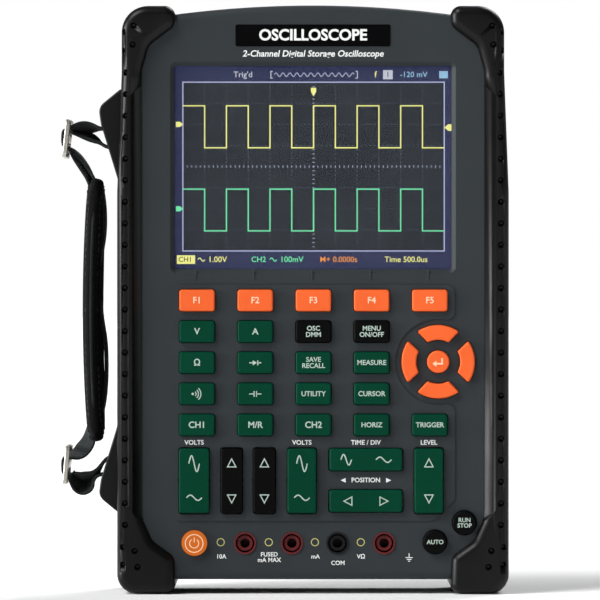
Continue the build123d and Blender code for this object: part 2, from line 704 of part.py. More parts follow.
def stand_outline(grow=0.0):
    """Back view of the U-shaped stand: two arms and a foot bar."""
    half = STAND_WIDTH / 2 + grow
    inner = STAND_WIDTH / 2 - STAND_ARM - grow
    top = STAND_TOP_Z + STAND_THICK / 2 + grow
    low = STAND_LOW_Z - grow
    bar = STAND_LOW_Z + STAND_FOOT + grow
    outline = Pos(0, (top + low) / 2) * Rectangle(2 * half, top - low)
    return outline - Pos(0, (top + bar) / 2 + 5) * Rectangle(2 * inner, top - bar + 10)


def kickstand():
    back = STAND_AXIS_Y + STAND_THICK / 2
    stand = front_slab(stand_outline(), back - STAND_THICK, back)
    corners = stand.edges().filter_by(Axis.Y).sort_by(Axis.Z)[:2]
    stand = fillet(corners, 5.0)
    tops = stand.edges().filter_by(Axis.X).sort_by(Axis.Z)[-4:]
    stand = fillet(tops, STAND_THICK / 2 - 0.02)
    half = STAND_WIDTH / 2
    pins = []
    for side in (-1, 1):
        x0, x1 = sorted((side * (half - 2), side * (half + STAND_PIN_LENGTH)))
        pins.append(rod_x(STAND_AXIS_Y, STAND_TOP_Z, STAND_PIN_RADIUS, x0, x1))
    return total([stand, *pins])


# ----------------------------------------------------------------- strap

def lug_places():
    """Bar height of each lug, and whether it is the mirrored, lower one."""
    return ((LUG_Z, 1), (2 * STRAP_Z - LUG_Z, -1))


def lug_outline(z, flip):
    """Side hump of a strap lug, drawn from the case wall outwards."""
    side = -HALF_WIDTH
    points = [
        (-CASE_HALF, 20.0),
        (side + 0.8, 20.0),
        (side - 8.2, 12.6),
        (side - 7.2, 5.5),
        (side + 0.6, -20.0),
        (-CASE_HALF, -20.0),
    ]
    points = [(x, z + flip * dz) for x, dz in points]
    return make_face(FilletPolyline(*points, radius=[0.5, 1.5, 5.0, 8.0, 3.0, 0.5], close=True))


def lug_block(z, flip):
    return front_slab(lug_outline(z, flip), -LUG_WIDTH / 2, LUG_WIDTH / 2)


def strap_lug(z, flip):
    solid = lug_block(z, flip)
    outer = solid.edges().filter_by(lambda e: e.center().X < -HALF_WIDTH - 1.5 and abs(e.center().Y) > 1)
    solid = fillet(outer, 0.8)
    half = LUG_SLOT_WIDTH / 2
    slot = block(LUG_X - 20, LUG_X + LUG_SLOT_DEPTH, -half, half, z - LUG_SLOT_HALF, z + LUG_SLOT_HALF)
    bar = rod_y(LUG_X, z, LUG_BAR_RADIUS, -half - 1, half + 1)
    return (solid - slot) + bar


def strap_lugs():
    return Compound([strap_lug(z, flip) for z, flip in lug_places()])


def buckle(z, flip):
    """Three-bar slide that the webbing threads through."""
    middle = z - flip * 0.4
    x0 = BUCKLE_X - BUCKLE_THICK / 2
    half = BUCKLE_TALL / 2
    frame = block(x0, x0 + BUCKLE_THICK, -BUCKLE_WIDTH / 2, BUCKLE_WIDTH / 2, middle - half, middle + half)
    frame = fillet(frame.edges().filter_by(Axis.X), 2.0)
    slot_half = (BUCKLE_WIDTH - 5.0) / 2
    for side in (-1, 1):
        z0 = middle + side * (BUCKLE_BAR + BUCKLE_SLOT) / 2
        frame -= block(x0 - 1, x0 + BUCKLE_THICK + 1, -slot_half, slot_half,
                       z0 - BUCKLE_SLOT / 2, z0 + BUCKLE_SLOT / 2)
    return frame


def strap_buckles():
    return Compound([buckle(z, flip) for z, flip in lug_places()])


def webbing(z, flip):
    """Webbing from the pad, through the buckle, round the lug bar and back."""
    loop = LOOP_RADIUS
    outside = BUCKLE_X - BUCKLE_THICK / 2 - 0.2 - WEB_THICK / 2
    inside = BUCKLE_X + BUCKLE_THICK / 2
    far = LUG_X + loop + 0.02
    pad_x = pad_middle_x()
    points = [
        (pad_x, (PAD_TALL - LUG_DISTANCE) / 2 - PAD_SEAM),
        (inside + 0.6, -4.4),
        (outside, -3.8),
        (outside, 3.4),
        (inside + 2.0, 3.4),
        (far, loop + 0.02),
        (far, -loop - 0.02),
        (inside + 4.2, -0.9),
        (inside + 1.4, -0.4),
    ]
    points = [(x, 0, z + flip * dz) for x, dz in points]
    path = FilletPolyline(*points, radius=[2.0, 1.2, 1.2, 1.5, loop, loop, 4.0])
    start = Plane(origin=path @ 0, x_dir=(0, 1, 0), z_dir=path % 0)
    return sweep(start * Rectangle(STRAP_WIDTH, WEB_THICK), path=path)


def strap_webbing():
    return Compound([webbing(z, flip) for z, flip in lug_places()])


def pad_middle_x():
    return -HALF_WIDTH - PAD_CLEAR - PAD_THICK / 2 + 1.0


def strap_pad():
    """Padded grip, gently bowed away from the case."""
    right = -HALF_WIDTH - PAD_CLEAR
    left = right - PAD_THICK
    middle = STRAP_Z - PAD_DROP
    low = middle - PAD_TALL / 2
    high = middle + PAD_TALL / 2
    edges = ThreePointArc((right, low), (right - PAD_BOW, middle), (right, high))
    edges += Line((right, high), (left + 2.5, high))
    edges += ThreePointArc((left + 2.5, high), (left - PAD_BOW, middle), (left + 2.5, low))
    edges += Line((left + 2.5, low), (right, low))
    pad = front_slab(make_face(edges), -PAD_WIDE / 2, PAD_WIDE / 2)
    return fillet(pad.edges(), PAD_ROUND)


# ---------------------------------------------------------------- export

def build_parts():
    parts = {
        "front_housing": front_housing(),
        "rear_housing": rear_housing(),
        "left_bumper": boot(-1),
        "right_bumper": boot(1),
        "screen_window": screen_window(),
        "lcd_module": lcd_module(),
        "name_plate": name_plate(),
        "keypad_mat": keypad_mat(),
        "key_board": key_board(),
        "main_board": main_board(),
        "battery_pack": battery_pack(),
        "battery_cover": battery_cover(),
        "kickstand": kickstand(),
        "bnc_connectors": Compound([bnc_connector(x) for x in bnc_places()]),
        "port_connectors": port_connectors(),
        "port_cover": port_cover(),
        "input_sockets_red": Compound([input_socket(x) for x in RED_SOCKET_X]),
        "input_socket_black": input_socket(BLACK_SOCKET_X),
        "case_screws": case_screws(),
        "strap_lugs": strap_lugs(),
        "strap_buckles": strap_buckles(),
        "strap_webbing": strap_webbing(),
        "strap_pad": strap_pad(),
    }
    for name, (sketch, front) in key_sketches().items():
        parts[name] = push_key(sketch, front)
    for name in ROCKERS:
        parts[name] = rocker(name)
    return parts


def main():
    os.makedirs("parts", exist_ok=True)
    for name, shape in build_parts().items():
        export_step(Pos(CENTRE_SHIFT, 0, 0) * shape, f"parts/{name}.step")


main()
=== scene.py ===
import json
import math

import bmesh
import bpy
from mathutils import Matrix, Vector
from mathutils.bvhtree import BVHTree


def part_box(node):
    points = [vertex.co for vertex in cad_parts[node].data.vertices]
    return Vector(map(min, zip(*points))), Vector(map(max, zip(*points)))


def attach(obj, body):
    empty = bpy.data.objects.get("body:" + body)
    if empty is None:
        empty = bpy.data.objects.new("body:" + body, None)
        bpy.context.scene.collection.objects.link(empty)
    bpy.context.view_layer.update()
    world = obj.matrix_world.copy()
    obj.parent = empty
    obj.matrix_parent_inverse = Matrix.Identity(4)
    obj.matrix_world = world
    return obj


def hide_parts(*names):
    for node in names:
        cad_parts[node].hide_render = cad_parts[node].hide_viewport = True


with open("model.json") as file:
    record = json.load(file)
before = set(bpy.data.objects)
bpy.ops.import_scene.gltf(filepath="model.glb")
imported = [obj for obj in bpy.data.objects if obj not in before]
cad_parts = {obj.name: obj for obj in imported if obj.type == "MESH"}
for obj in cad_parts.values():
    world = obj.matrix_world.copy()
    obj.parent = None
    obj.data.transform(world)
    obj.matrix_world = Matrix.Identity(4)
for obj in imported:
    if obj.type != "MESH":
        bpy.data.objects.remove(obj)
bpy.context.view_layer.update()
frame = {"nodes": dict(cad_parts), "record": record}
nodes = frame["nodes"]
scene = bpy.context.scene
MM = 0.001

# ---------------- places
PANEL_RISE = 0.5 * MM  # key panel above the rest of the face
INK = 0.05 * MM  # thickness of printed legends
case_low, case_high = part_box("front_housing")
right_low, right_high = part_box("right_bumper")
window_low, window_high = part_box("screen_window")
CENTRE_X = (case_low.x + case_high.x) / 2
PANEL_Y = case_low.y
FACE_Y = PANEL_Y + PANEL_RISE
HEIGHT = right_high.z


# ---------------- materials
CLOUD_SCALE = 38.0  # patches of uneven colour and gloss, per metre
CLOUD_DETAIL = 6.0
CLOUD_SPAN = (0.3, 0.7)  # part of the noise that the two tints span
LEAST_ROUGH = 0.02
COAT_ROUGH = 0.12
GRAIN_HEIGHT = 0.05 * MM
GRAIN_DETAIL = 2.0
BAND_SCALE = 0.314  # wave scale that gives one band per metre
THREAD_HEIGHT = 0.25 * MM
THREAD_WOBBLE = 0.6
UNLIT_SHARE = 0.1  # a display colour's share when it isn't lit
DIM_SHARE = 0.92  # the backlight's weakest patches
PANE_ALPHA = 0.06


def linear(r, g, b):
    """An sRGB colour, 0 to 255, as the linear colour that a shader takes."""
    def one(c):
        c /= 255
        return c / 12.92 if c <= 0.04045 else ((c + 0.055) / 1.055) ** 2.4

    return one(r), one(g), one(b), 1.0


def surface(name, colour, rough, metallic=0.0, grain=0.0, grain_size=0.4, shade=0.12,
            rough_spread=0.06, specular=0.5, sheen=0.0, coat=0.0):
    """Moulded or plated surface: uneven colour and gloss, and a fine grain."""
    m = bpy.data.materials.new(name)
    m.use_nodes = True
    t = m.node_tree
    shader = t.nodes["Principled BSDF"]
    shader.inputs["Metallic"].default_value = metallic
    shader.inputs["Specular IOR Level"].default_value = specular
    shader.inputs["Sheen Weight"].default_value = sheen
    shader.inputs["Coat Weight"].default_value = coat
    shader.inputs["Coat Roughness"].default_value = COAT_ROUGH
    place = t.nodes.new("ShaderNodeTexCoord")
    cloud = t.nodes.new("ShaderNodeTexNoise")
    cloud.inputs["Scale"].default_value = CLOUD_SCALE
    cloud.inputs["Detail"].default_value = CLOUD_DETAIL
    t.links.new(place.outputs["Object"], cloud.inputs["Vector"])
    tint = t.nodes.new("ShaderNodeValToRGB")
    dark = [c * (1 - shade) for c in colour[:3]] + [1]
    pale = [min(1.0, c * (1 + shade)) for c in colour[:3]] + [1]
    for stop, position, tone in zip(tint.color_ramp.elements, CLOUD_SPAN, (dark, pale)):
        stop.position = position
        stop.color = tone
    t.links.new(cloud.outputs["Fac"], tint.inputs["Fac"])
    t.links.new(tint.outputs["Color"], shader.inputs["Base Color"])
    gloss = t.nodes.new("ShaderNodeMapRange")
    gloss.inputs["To Min"].default_value = max(LEAST_ROUGH, rough - rough_spread)
    gloss.inputs["To Max"].default_value = rough + rough_spread
    t.links.new(cloud.outputs["Fac"], gloss.inputs["Value"])
    t.links.new(gloss.outputs["Result"], shader.inputs["Roughness"])
    if grain:
        fine = t.nodes.new("ShaderNodeTexNoise")
        fine.inputs["Scale"].default_value = 1.0 / (grain_size * MM)
        fine.inputs["Detail"].default_value = GRAIN_DETAIL
        t.links.new(place.outputs["Object"], fine.inputs["Vector"])
        bump = t.nodes.new("ShaderNodeBump")
        bump.inputs["Strength"].default_value = grain
        bump.inputs["Distance"].default_value = GRAIN_HEIGHT
        t.links.new(fine.outputs["Fac"], bump.inputs["Height"])
        t.links.new(bump.outputs["Normal"], shader.inputs["Normal"])
    return m


def weave(name, colour, pitch, rough=0.85, strength=0.7, sheen=0.08):
    """Woven cloth: two crossed sets of threads, tinted and raised."""
    m = surface(name, colour, rough, sheen=sheen, shade=0.2, specular=0.12)
    t = m.node_tree
    shader = t.nodes["Principled BSDF"]
    place = t.nodes.new("ShaderNodeTexCoord")
    waves = []
    for axis in ("Y", "Z"):
        wave = t.nodes.new("ShaderNodeTexWave")
        wave.bands_direction = axis
        wave.inputs["Scale"].default_value = BAND_SCALE / (pitch * MM)
        wave.inputs["Distortion"].default_value = THREAD_WOBBLE
        wave.inputs["Detail"].default_value = 1.0
        t.links.new(place.outputs["Object"], wave.inputs["Vector"])
        waves.append(wave)
    both = t.nodes.new("ShaderNodeMath")
    both.operation = "MULTIPLY"
    for i, wave in enumerate(waves):
        t.links.new(wave.outputs["Fac"], both.inputs[i])
    bump = t.nodes.new("ShaderNodeBump")
    bump.inputs["Strength"].default_value = strength
    bump.inputs["Distance"].default_value = THREAD_HEIGHT
    t.links.new(both.outputs["Value"], bump.inputs["Height"])
    t.links.new(bump.outputs["Normal"], shader.inputs["Normal"])
    return m


def glowing(name, colour, strength):
    """Lit display element, slightly uneven like a backlight. The power key uses it too, as a
    painted glow.
    """
    m = surface(name, [c * UNLIT_SHARE for c in colour[:3]] + [1], 0.5, shade=0.05, specular=0.02)
    t = m.node_tree
    shader = t.nodes["Principled BSDF"]
    tint = next(n for n in t.nodes if n.type == "VALTORGB")
    lit = t.nodes.new("ShaderNodeValToRGB")
    lit.color_ramp.elements[0].color = [c * DIM_SHARE for c in colour[:3]] + [1]
    lit.color_ramp.elements[1].color = list(colour[:3]) + [1]
    t.links.new(tint.inputs["Fac"].links[0].from_socket, lit.inputs["Fac"])
    t.links.new(lit.outputs["Color"], shader.inputs["Emission Color"])
    shader.inputs["Emission Strength"].default_value = strength
    return m


def clear_glass():
    """Thin clear pane: almost all of it lets the display through."""
    m = surface("clear_window", (0.5, 0.56, 0.62, 1), 0.06, shade=0.1, rough_spread=0.02)
    m.node_tree.nodes["Principled BSDF"].inputs["Alpha"].default_value = PANE_ALPHA
    return m


def legend_ink(name, colour):
    """Printed legend: flat paint with a trace of grain."""
    return surface(name, colour, 0.55, shade=0.03, grain=0.1, specular=0.2)


MATS = {
    "case": surface("case_plastic", linear(48, 53, 56), 0.5, grain=0.5, grain_size=0.35,
                    shade=0.06, specular=0.15),
    "boot": surface("boot_rubber", linear(8, 8, 8), 0.38, grain=0.4, grain_size=0.5,
                    shade=0.15, specular=0.2),
    "green": surface("green_key", linear(0, 60, 41), 0.42, grain=0.25, shade=0.07,
                     specular=0.06),
    "orange": surface("orange_key", linear(238, 100, 46), 0.45, grain=0.25, shade=0.05,
                      specular=0.15),
    # The power key is no lamp: its orange is a painted glow, emitted rather than lit by the lamps.
    "power": glowing("power_key_painted_glow", linear(255, 132, 50), 0.55),
    "black": surface("black_key", linear(5, 5, 6), 0.45, grain=0.25, shade=0.15,
                     specular=0.06),
    "gloss": surface("plate_gloss", linear(6, 6, 7), 0.12, shade=0.1, rough_spread=0.04,
                     coat=0.1, specular=0.1),
    "red": surface("socket_red", linear(98, 34, 36), 0.35, shade=0.1, grain=0.15,
                   specular=0.15),
    "socket": surface("socket_black", linear(12, 12, 13), 0.35, shade=0.1, grain=0.15,
                      specular=0.2),
    "steel": surface("buckle_steel", linear(190, 188, 178), 0.38, metallic=1.0,
                     shade=0.08, rough_spread=0.12, grain=0.2, grain_size=0.6),
    "nickel": surface("nickel", linear(205, 201, 190), 0.25, metallic=1.0, shade=0.05),
    "screw": surface("screw_steel", linear(140, 140, 142), 0.35, metallic=1.0, shade=0.1),
    "lug": surface("lug_plastic", linear(10, 10, 11), 0.4, grain=0.4, shade=0.12, specular=0.2),
    "stand": surface("stand_plastic", linear(40, 42, 44), 0.5, grain=0.5, shade=0.08,
                     specular=0.35),
    "webbing": weave("webbing_cloth", linear(28, 32, 33), 1.1),
    "pad": weave("pad_cloth", linear(7, 7, 8), 0.8, rough=0.9, sheen=0.02),
    "thread": weave("stitch_thread", linear(58, 58, 60), 0.3),
    "ink": legend_ink("legend_white", linear(235, 238, 236)),
    "key_ink": legend_ink("legend_key", linear(178, 196, 186)),
    "orange_ink": legend_ink("legend_on_orange", linear(248, 206, 170)),
    "yellow_ink": surface("legend_yellow", linear(196, 190, 116), 0.55, shade=0.05, grain=0.1),
    "board": surface("circuit_board", linear(20, 84, 48), 0.35, shade=0.15, grain=0.1),
    "silicone": surface("keypad_silicone", linear(120, 122, 124), 0.6, shade=0.06, grain=0.2),
    "battery": surface("battery_film", linear(36, 50, 92), 0.25, shade=0.08, grain=0.1),
    "glass": clear_glass(),
    "lcd_body": surface("lcd_body", linear(8, 8, 18), 0.4, shade=0.1, grain=0.1,
                        specular=0.05),
    "border": glowing("screen_border", linear(34, 38, 82), 0.75),
    "field": glowing("screen_field", linear(13, 17, 26), 0.9),
    "frame_line": glowing("screen_frame", linear(186, 190, 226), 0.9),
    "dots": glowing("screen_dots", linear(176, 182, 206), 1.0),
    "faint_dots": glowing("screen_faint_dots", linear(104, 110, 134), 1.0),
    "yellow": glowing("trace_yellow", linear(240, 238, 138), 1.0),
    "trace_green": glowing("trace_green", linear(112, 232, 166), 1.0),
    "cyan": glowing("screen_cyan", linear(150, 196, 226), 0.9),
    "amber": glowing("screen_amber", linear(240, 150, 60), 0.9),
    "white": glowing("screen_white", linear(200, 204, 216), 0.9),
}


def paint(obj, material):
    """One material on every face of a piece."""
    obj.data.materials.clear()
    obj.data.materials.append(MATS[material])
    for polygon in obj.data.polygons:
        polygon.material_index = 0
    return obj


# ---------------- building pieces
def place(obj, body, slot, material=None):
    """Paint a new piece and hang it on its body."""
    if material:
        paint(obj, material)
    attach(obj, body)
    return obj


def mesh_piece(name, bm):
    data = bpy.data.meshes.new(name)
    bm.to_mesh(data)
    bm.free()
    obj = bpy.data.objects.new(name, data)
    scene.collection.objects.link(obj)
    return obj


def thicken(obj, depth):
    solid = obj.modifiers.new("thickness", "SOLIDIFY")
    solid.thickness = depth
    solid.offset = 0.0
    return obj


LEAST_MITRE = 0.35  # keeps a sharp corner's mitre from running out
ARC_STEPS = 20


def strip(bm, points, width, y, closed=False):
    """A flat line of even width in the XZ plane, with mitred corners."""
    flat = [Vector(p) for p in points]
    n = len(flat)
    pairs = []
    for i, p in enumerate(flat):
        before = flat[i - 1] if closed or i else None
        after = flat[(i + 1) % n] if closed or i < n - 1 else None
        a = (p - before).normalized() if before is not None else (after - p).normalized()
        b = (after - p).normalized() if after is not None else a
        along = a + b
        if along.length < 1e-6:
            along = b
        along.normalize()
        side = Vector((-along.y, along.x))
        reach = width / 2 / max(LEAST_MITRE, side.dot(Vector((-b.y, b.x))))
        pairs.append([bm.verts.new((q.x, y, q.y)) for q in (p - side * reach, p + side * reach)])
    for i in range(n if closed else n - 1):
        a, b = pairs[i], pairs[(i + 1) % n]
        bm.faces.new((a[0], b[0], b[1], a[1]))


def fill(bm, points, y):
    bm.faces.new([bm.verts.new((x, y, z)) for x, z in points])


def box_points(x0, z0, x1, z1):
    return [(x0, z0), (x1, z0), (x1, z1), (x0, z1)]


def arc_points(x, z, radius, start, end, count=ARC_STEPS):
    turn = [math.radians(start + (end - start) * i / count) for i in range(count + 1)]
    return [(x + radius * math.cos(a), z + radius * math.sin(a)) for a in turn]


def drawing(name, body, slot, material, y, strips=(), fills=(), width=0.4 * MM, depth=INK):
    """One printed piece made of lines and filled shapes."""
    bm = bmesh.new()
    for line in strips:
        points, closed = line if isinstance(line, tuple) else (line, False)
        strip(bm, points, width, y, closed)
    for shape in fills:
        fill(bm, shape, y)
    bmesh.ops.recalc_face_normals(bm, faces=bm.faces)
    piece = mesh_piece(name, bm)
    thicken(piece, depth)
    return place(piece, body, slot, material)


LINE_SPACING = 0.92
LETTER_STEPS = 3  # curve steps in each letter's outline
PRINT_BOLD = 0.02  # thickening of printed letters, as a share of their size


def lettering(name, text, x, y, z, size, body, slot, material="ink", fit=None, shear=0.0,
              bold=PRINT_BOLD, depth=INK, align="CENTER"):
    """Text as thin printed geometry, facing the viewer, narrowed to fit a width."""
    curve = bpy.data.curves.new(name, "FONT")
    curve.body = text
    curve.size = size
    curve.shear = shear
    curve.offset = bold * size
    curve.align_x = align
    curve.align_y = "CENTER"
    curve.space_line = LINE_SPACING
    curve.extrude = depth / 2
    curve.resolution_u = LETTER_STEPS
    holder = bpy.data.objects.new(name + "_text", curve)
    scene.collection.objects.link(holder)
    bpy.context.view_layer.update()
    data = bpy.data.meshes.new_from_object(holder)
    bpy.data.objects.remove(holder)
    data.name = name
    across = [v.co.x for v in data.vertices]
    wide = max(across) - min(across)
    narrow = min(1.0, fit / wide) if fit else 1.0
    facing = Matrix.Translation((x, y, z)) @ Matrix.Rotation(math.pi / 2, 4, "X")
    data.transform(facing @ Matrix.Diagonal((narrow, 1, 1, 1)))
    piece = bpy.data.objects.new(name, data)
    scene.collection.objects.link(piece)
    return place(piece, body, slot, material)


# ---------------- CAD nodes' finishes
FINISH = {
    "front_housing": "case", "rear_housing": "case", "battery_cover": "case",
    "left_bumper": "boot", "right_bumper": "boot", "port_cover": "boot",
    "screen_window": "glass", "lcd_module": "lcd_body", "name_plate": "gloss",
    "keypad_mat": "silicone", "key_board": "board", "main_board": "board",
    "battery_pack": "battery", "kickstand": "stand", "bnc_connectors": "nickel",
    "port_connectors": "nickel", "input_sockets_red": "red", "input_socket_black": "socket",
    "case_screws": "screw", "strap_lugs": "lug", "strap_buckles": "steel",
    "strap_webbing": "webbing", "strap_pad": "pad",
}
KEY_FINISH = {"orange_keys": "orange", "green_keys": "green", "black_keys": "black",
              "power_key": "power"}
SLOTS = {s["node"]: s["material_slot"] for s in frame["record"]["subparts"]}


def finish_nodes():
    for name, obj in nodes.items():
        paint(obj, FINISH.get(name) or KEY_FINISH[SLOTS[name]])


def centre(node):
    low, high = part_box(node)
    return (low + high) / 2


def key_front(node):
    """Where a printed legend lies on a key's face."""
    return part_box(node)[0].y - INK / 2


# ---------------- boot dimples
DIMPLE_PITCH = 8.95 * MM
DIMPLE_RADIUS = 1.35 * MM
DIMPLE_DEPTH = 1.8 * MM
DIMPLE_SIDES = 14
DIMPLE_PROFILE = (  # depth, and share of the radius
    (-0.8 * MM, 1.06), (0.1 * MM, 1.0), (0.7 * DIMPLE_DEPTH, 0.9), (0.93 * DIMPLE_DEPTH, 0.65),
    (DIMPLE_DEPTH, 0.3))
DIMPLE_LOW = 28.7 * MM
DIMPLE_ROWS = 22
DIMPLE_INSET = 3.5  # rows on the rails, in from the boot's side, in mm
SIDE_ROWS_Y = (-20.5, -10.5, 0.0, 10.5, 20.5)
CAP_DIMPLES = (  # in from the boot's side, and height, in mm
    (7.1, 236.2), (6.7, 228.3), (2.4, 233.6), (2.2, 226.0), (2.2, 19.5), (2.4, 12.2),
    (7.5, 17.9), (8.7, 11.2))
GROOVE_PROFILE = (  # in from the boot's side, and back from its front, in mm
    (3.0, -1.0), (3.0, 0.0), (4.4, 0.14), (5.6, 0.48), (6.4, 0.95), (6.9, 1.7), (7.0, 2.7),
    (10.6, 2.9), (10.6, -1.0))
GROOVE_LOW = 37.0 * MM
GROOVE_HIGH = 205.0 * MM
GROOVE_FLARE = 0.9  # how far its ends run out, for each mm from the side
LUG_REACH = 43 * MM  # height that each lug's foot takes up
LUG_SPAN = 92 * MM  # both lugs lie this near the middle of the height
LUG_HALF_WIDE = 16  # in mm
SIDE_HIT = 2.6 * MM  # a dimple further in than this would miss the side face
RAIL_HIT = 4 * MM
RAIL_TILT = (0.25, 0.97)  # inward and rearward lean of the rails' dimples
RAY_BACK = 0.05  # rays start this far off, in metres


def skin(bm, rings, capped=True):
    """Join rings of vertices into a tube, closed at its ends or round on itself."""
    n = len(rings[0])
    following = rings[1:] if capped else rings[1:] + rings[:1]
    for a, b in zip(rings, following):
        for i in range(n):
            j = (i + 1) % n
            bm.faces.new((a[i], a[j], b[j], b[i]))
    if capped:
        bm.faces.new(list(reversed(rings[0])))
        bm.faces.new(rings[-1])


def pit(bm, at, inward):
    """A round-bottomed cutter that leaves one shallow dimple."""
    turn = Vector((0, 0, 1)).rotation_difference(inward).to_matrix().to_4x4()
    rings = []
    for depth, share in DIMPLE_PROFILE:
        ring = []
        for i in range(DIMPLE_SIDES):
            a = 2 * math.pi * i / DIMPLE_SIDES
            radius = DIMPLE_RADIUS * share
            local = Vector((radius * math.cos(a), radius * math.sin(a), depth))
            ring.append(bm.verts.new(Vector(at) + turn @ local))
        rings.append(ring)
    skin(bm, rings)


def groove(bm, edge_x, side):
    """Cutter that rounds the rail over and leaves a channel between it and the case."""
    ends = []
    for z, way in ((GROOVE_LOW, -1), (GROOVE_HIGH, 1)):
        end = []
        for u, v in GROOVE_PROFILE:
            flare = way * (u - GROOVE_PROFILE[0][0]) * GROOVE_FLARE * MM
            end.append(bm.verts.new((edge_x - side * u * MM, right_low.y + v * MM, z + flare)))
        ends.append(end)
    skin(bm, ends)


def soft_faces(obj):
    for polygon in obj.data.polygons:
        polygon.use_smooth = True


def crease(obj, angle=32):
    """Smooth shading that stays sharp at edges over an angle."""
    soft_faces(obj)
    obj.data.set_sharp_from_angle(angle=math.radians(angle))


def evaluated_mesh(obj):
    graph = bpy.context.evaluated_depsgraph_get()
    return bpy.data.meshes.new_from_object(obj.evaluated_get(graph))


def carve(obj, cutter):
    """A piece's mesh with a scratch mesh cut out of it; the piece stays as it was."""
    cut = obj.modifiers.new("cut", "BOOLEAN")
    cut.operation = "DIFFERENCE"
    cut.solver = "EXACT"
    cut.object = cutter
    made = evaluated_mesh(obj)
    obj.modifiers.remove(cut)
    bpy.data.objects.remove(cutter)
    return made


def surface_point(tree, origin, direction):
    """First hit of a ray on a surface, with the way into it."""
    hit, normal, _, _ = tree.ray_cast(origin, direction)
    return (hit, -normal) if hit is not None else (None, None)


def tree_of(mesh):
    return BVHTree.FromPolygons([v.co for v in mesh.vertices], [p.vertices for p in mesh.polygons])


def side_dimples(bm, tree, edge_x, side):
    """Rows across the boot's side face; the lugs' feet take the place of some."""
    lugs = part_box("strap_lugs")
    for row in range(DIMPLE_ROWS):
        z = DIMPLE_LOW + row * DIMPLE_PITCH
        beside_lug = z > lugs[1].z - LUG_REACH or z < lugs[0].z + LUG_REACH
        near_lug = side < 0 and beside_lug and abs(z - HEIGHT / 2) < LUG_SPAN
        for y in SIDE_ROWS_Y:
            if near_lug and abs(y) < LUG_HALF_WIDE:
                continue
            start = (edge_x + side * RAY_BACK, y * MM, z)
            hit, inward = surface_point(tree, start, Vector((-side, 0, 0)))
            if hit is not None and abs(hit.x - edge_x) < SIDE_HIT:
                pit(bm, hit, inward)


def rail_dimples(bm, tree, edge_x, side):
    """A row up each rail, front and back, and a few on the caps."""
    spots = [(DIMPLE_INSET, DIMPLE_LOW + row * DIMPLE_PITCH) for row in range(DIMPLE_ROWS)]
    spots += [(u, z * MM) for u, z in CAP_DIMPLES]
    for u, z in spots:
        for front in (-1, 1):
            aim = Vector((-side * RAIL_TILT[0], -front * RAIL_TILT[1], 0)).normalized()
            base = Vector((edge_x - side * u * MM, front * (right_high.y - 0.5 * MM), z))
            hit, inward = surface_point(tree, base - aim * RAY_BACK, aim)
            if hit is not None and (hit - base).length < RAIL_HIT:
                pit(bm, hit, inward)


def boot(node, side):
    """Rubber boot with its channel and its rows of dimples cut in."""
    edge_x = CENTRE_X + side * (right_high.x - CENTRE_X)
    bm = bmesh.new()
    groove(bm, edge_x, side)
    bmesh.ops.recalc_face_normals(bm, faces=bm.faces)
    grooved = carve(nodes[node], mesh_piece(node + "_channel", bm))
    piece = bpy.data.objects.new(node + "_dimpled", grooved)
    scene.collection.objects.link(piece)
    tree = tree_of(grooved)
    bm = bmesh.new()
    side_dimples(bm, tree, edge_x, side)
    rail_dimples(bm, tree, edge_x, side)
    bmesh.ops.recalc_face_normals(bm, faces=bm.faces)
    piece.data = carve(piece, mesh_piece(node + "_pits", bm))
    piece.data.name = node + "_dimpled"
    crease(piece)
    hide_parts(node)
    return place(piece, "housing", SLOTS[node], "boot")


# ---------------- keys' legends
KEY_TEXT = {
    "key_f1": "F1", "key_f2": "F2", "key_f3": "F3", "key_f4": "F4", "key_f5": "F5",
    "key_v": "V", "key_a": "A", "key_osc_dmm": "OSC\nDMM", "key_menu": "MENU\nON/OFF",
    "key_ohm": "Ω", "key_save_recall": "SAVE\nRECALL", "key_measure": "MEASURE",
    "key_utility": "UTILITY", "key_cursor": "CURSOR", "key_ch1": "CH1", "key_math_ref": "M/R",
    "key_ch2": "CH2", "key_horizontal": "HORIZ", "key_trigger": "TRIGGER",
    "key_auto": "AUTO", "key_run_stop": "RUN\nSTOP",
}
LARGE_TEXT = ("key_f1", "key_f2", "key_f3", "key_f4", "key_f5", "key_v", "key_a", "key_ohm",
              "key_ch1", "key_ch2", "key_math_ref")
ROUND_KEYS = ("key_auto", "key_run_stop")
LARGE_LETTER = 3.7 * MM
WORD_LETTER = 2.9 * MM
STACKED_LETTER = 2.8 * MM
ROUND_KEY_LETTER = 2.5 * MM
KEY_MARGIN = 4.6 * MM  # both sides of a legend together


def legend_size(node, text):
    if node in ROUND_KEYS:
        return ROUND_KEY_LETTER
    if node in LARGE_TEXT:
        return LARGE_LETTER
    return STACKED_LETTER if "\n" in text else WORD_LETTER


def key_ink(node):
    return "orange_ink" if SLOTS[node] in ("orange_keys", "power_key") else "key_ink"


def key_legends():
    for node, text in KEY_TEXT.items():
        c = centre(node)
        low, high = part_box(node)
        lettering("legend_" + node, text, c.x, key_front(node), c.z, legend_size(node, text), node,
                  SLOTS[node], material=key_ink(node), fit=(high.x - low.x) - KEY_MARGIN)


def sine_points(x, z, width, height, count=24):
    shares = [i / count for i in range(count + 1)]
    return [(x + (s - 0.5) * width, z + math.sin(s * 2 * math.pi) * height / 2) for s in shares]


def symbol(node, **shapes):
    drawing("legend_" + node, node, SLOTS[node], key_ink(node), key_front(node), **shapes)


def from_centre(node, lines):
    """Lines given in millimetres from a key's middle."""
    c = centre(node)
    return [[(c.x + x * MM, c.z + z * MM) for x, z in line] for line in lines]


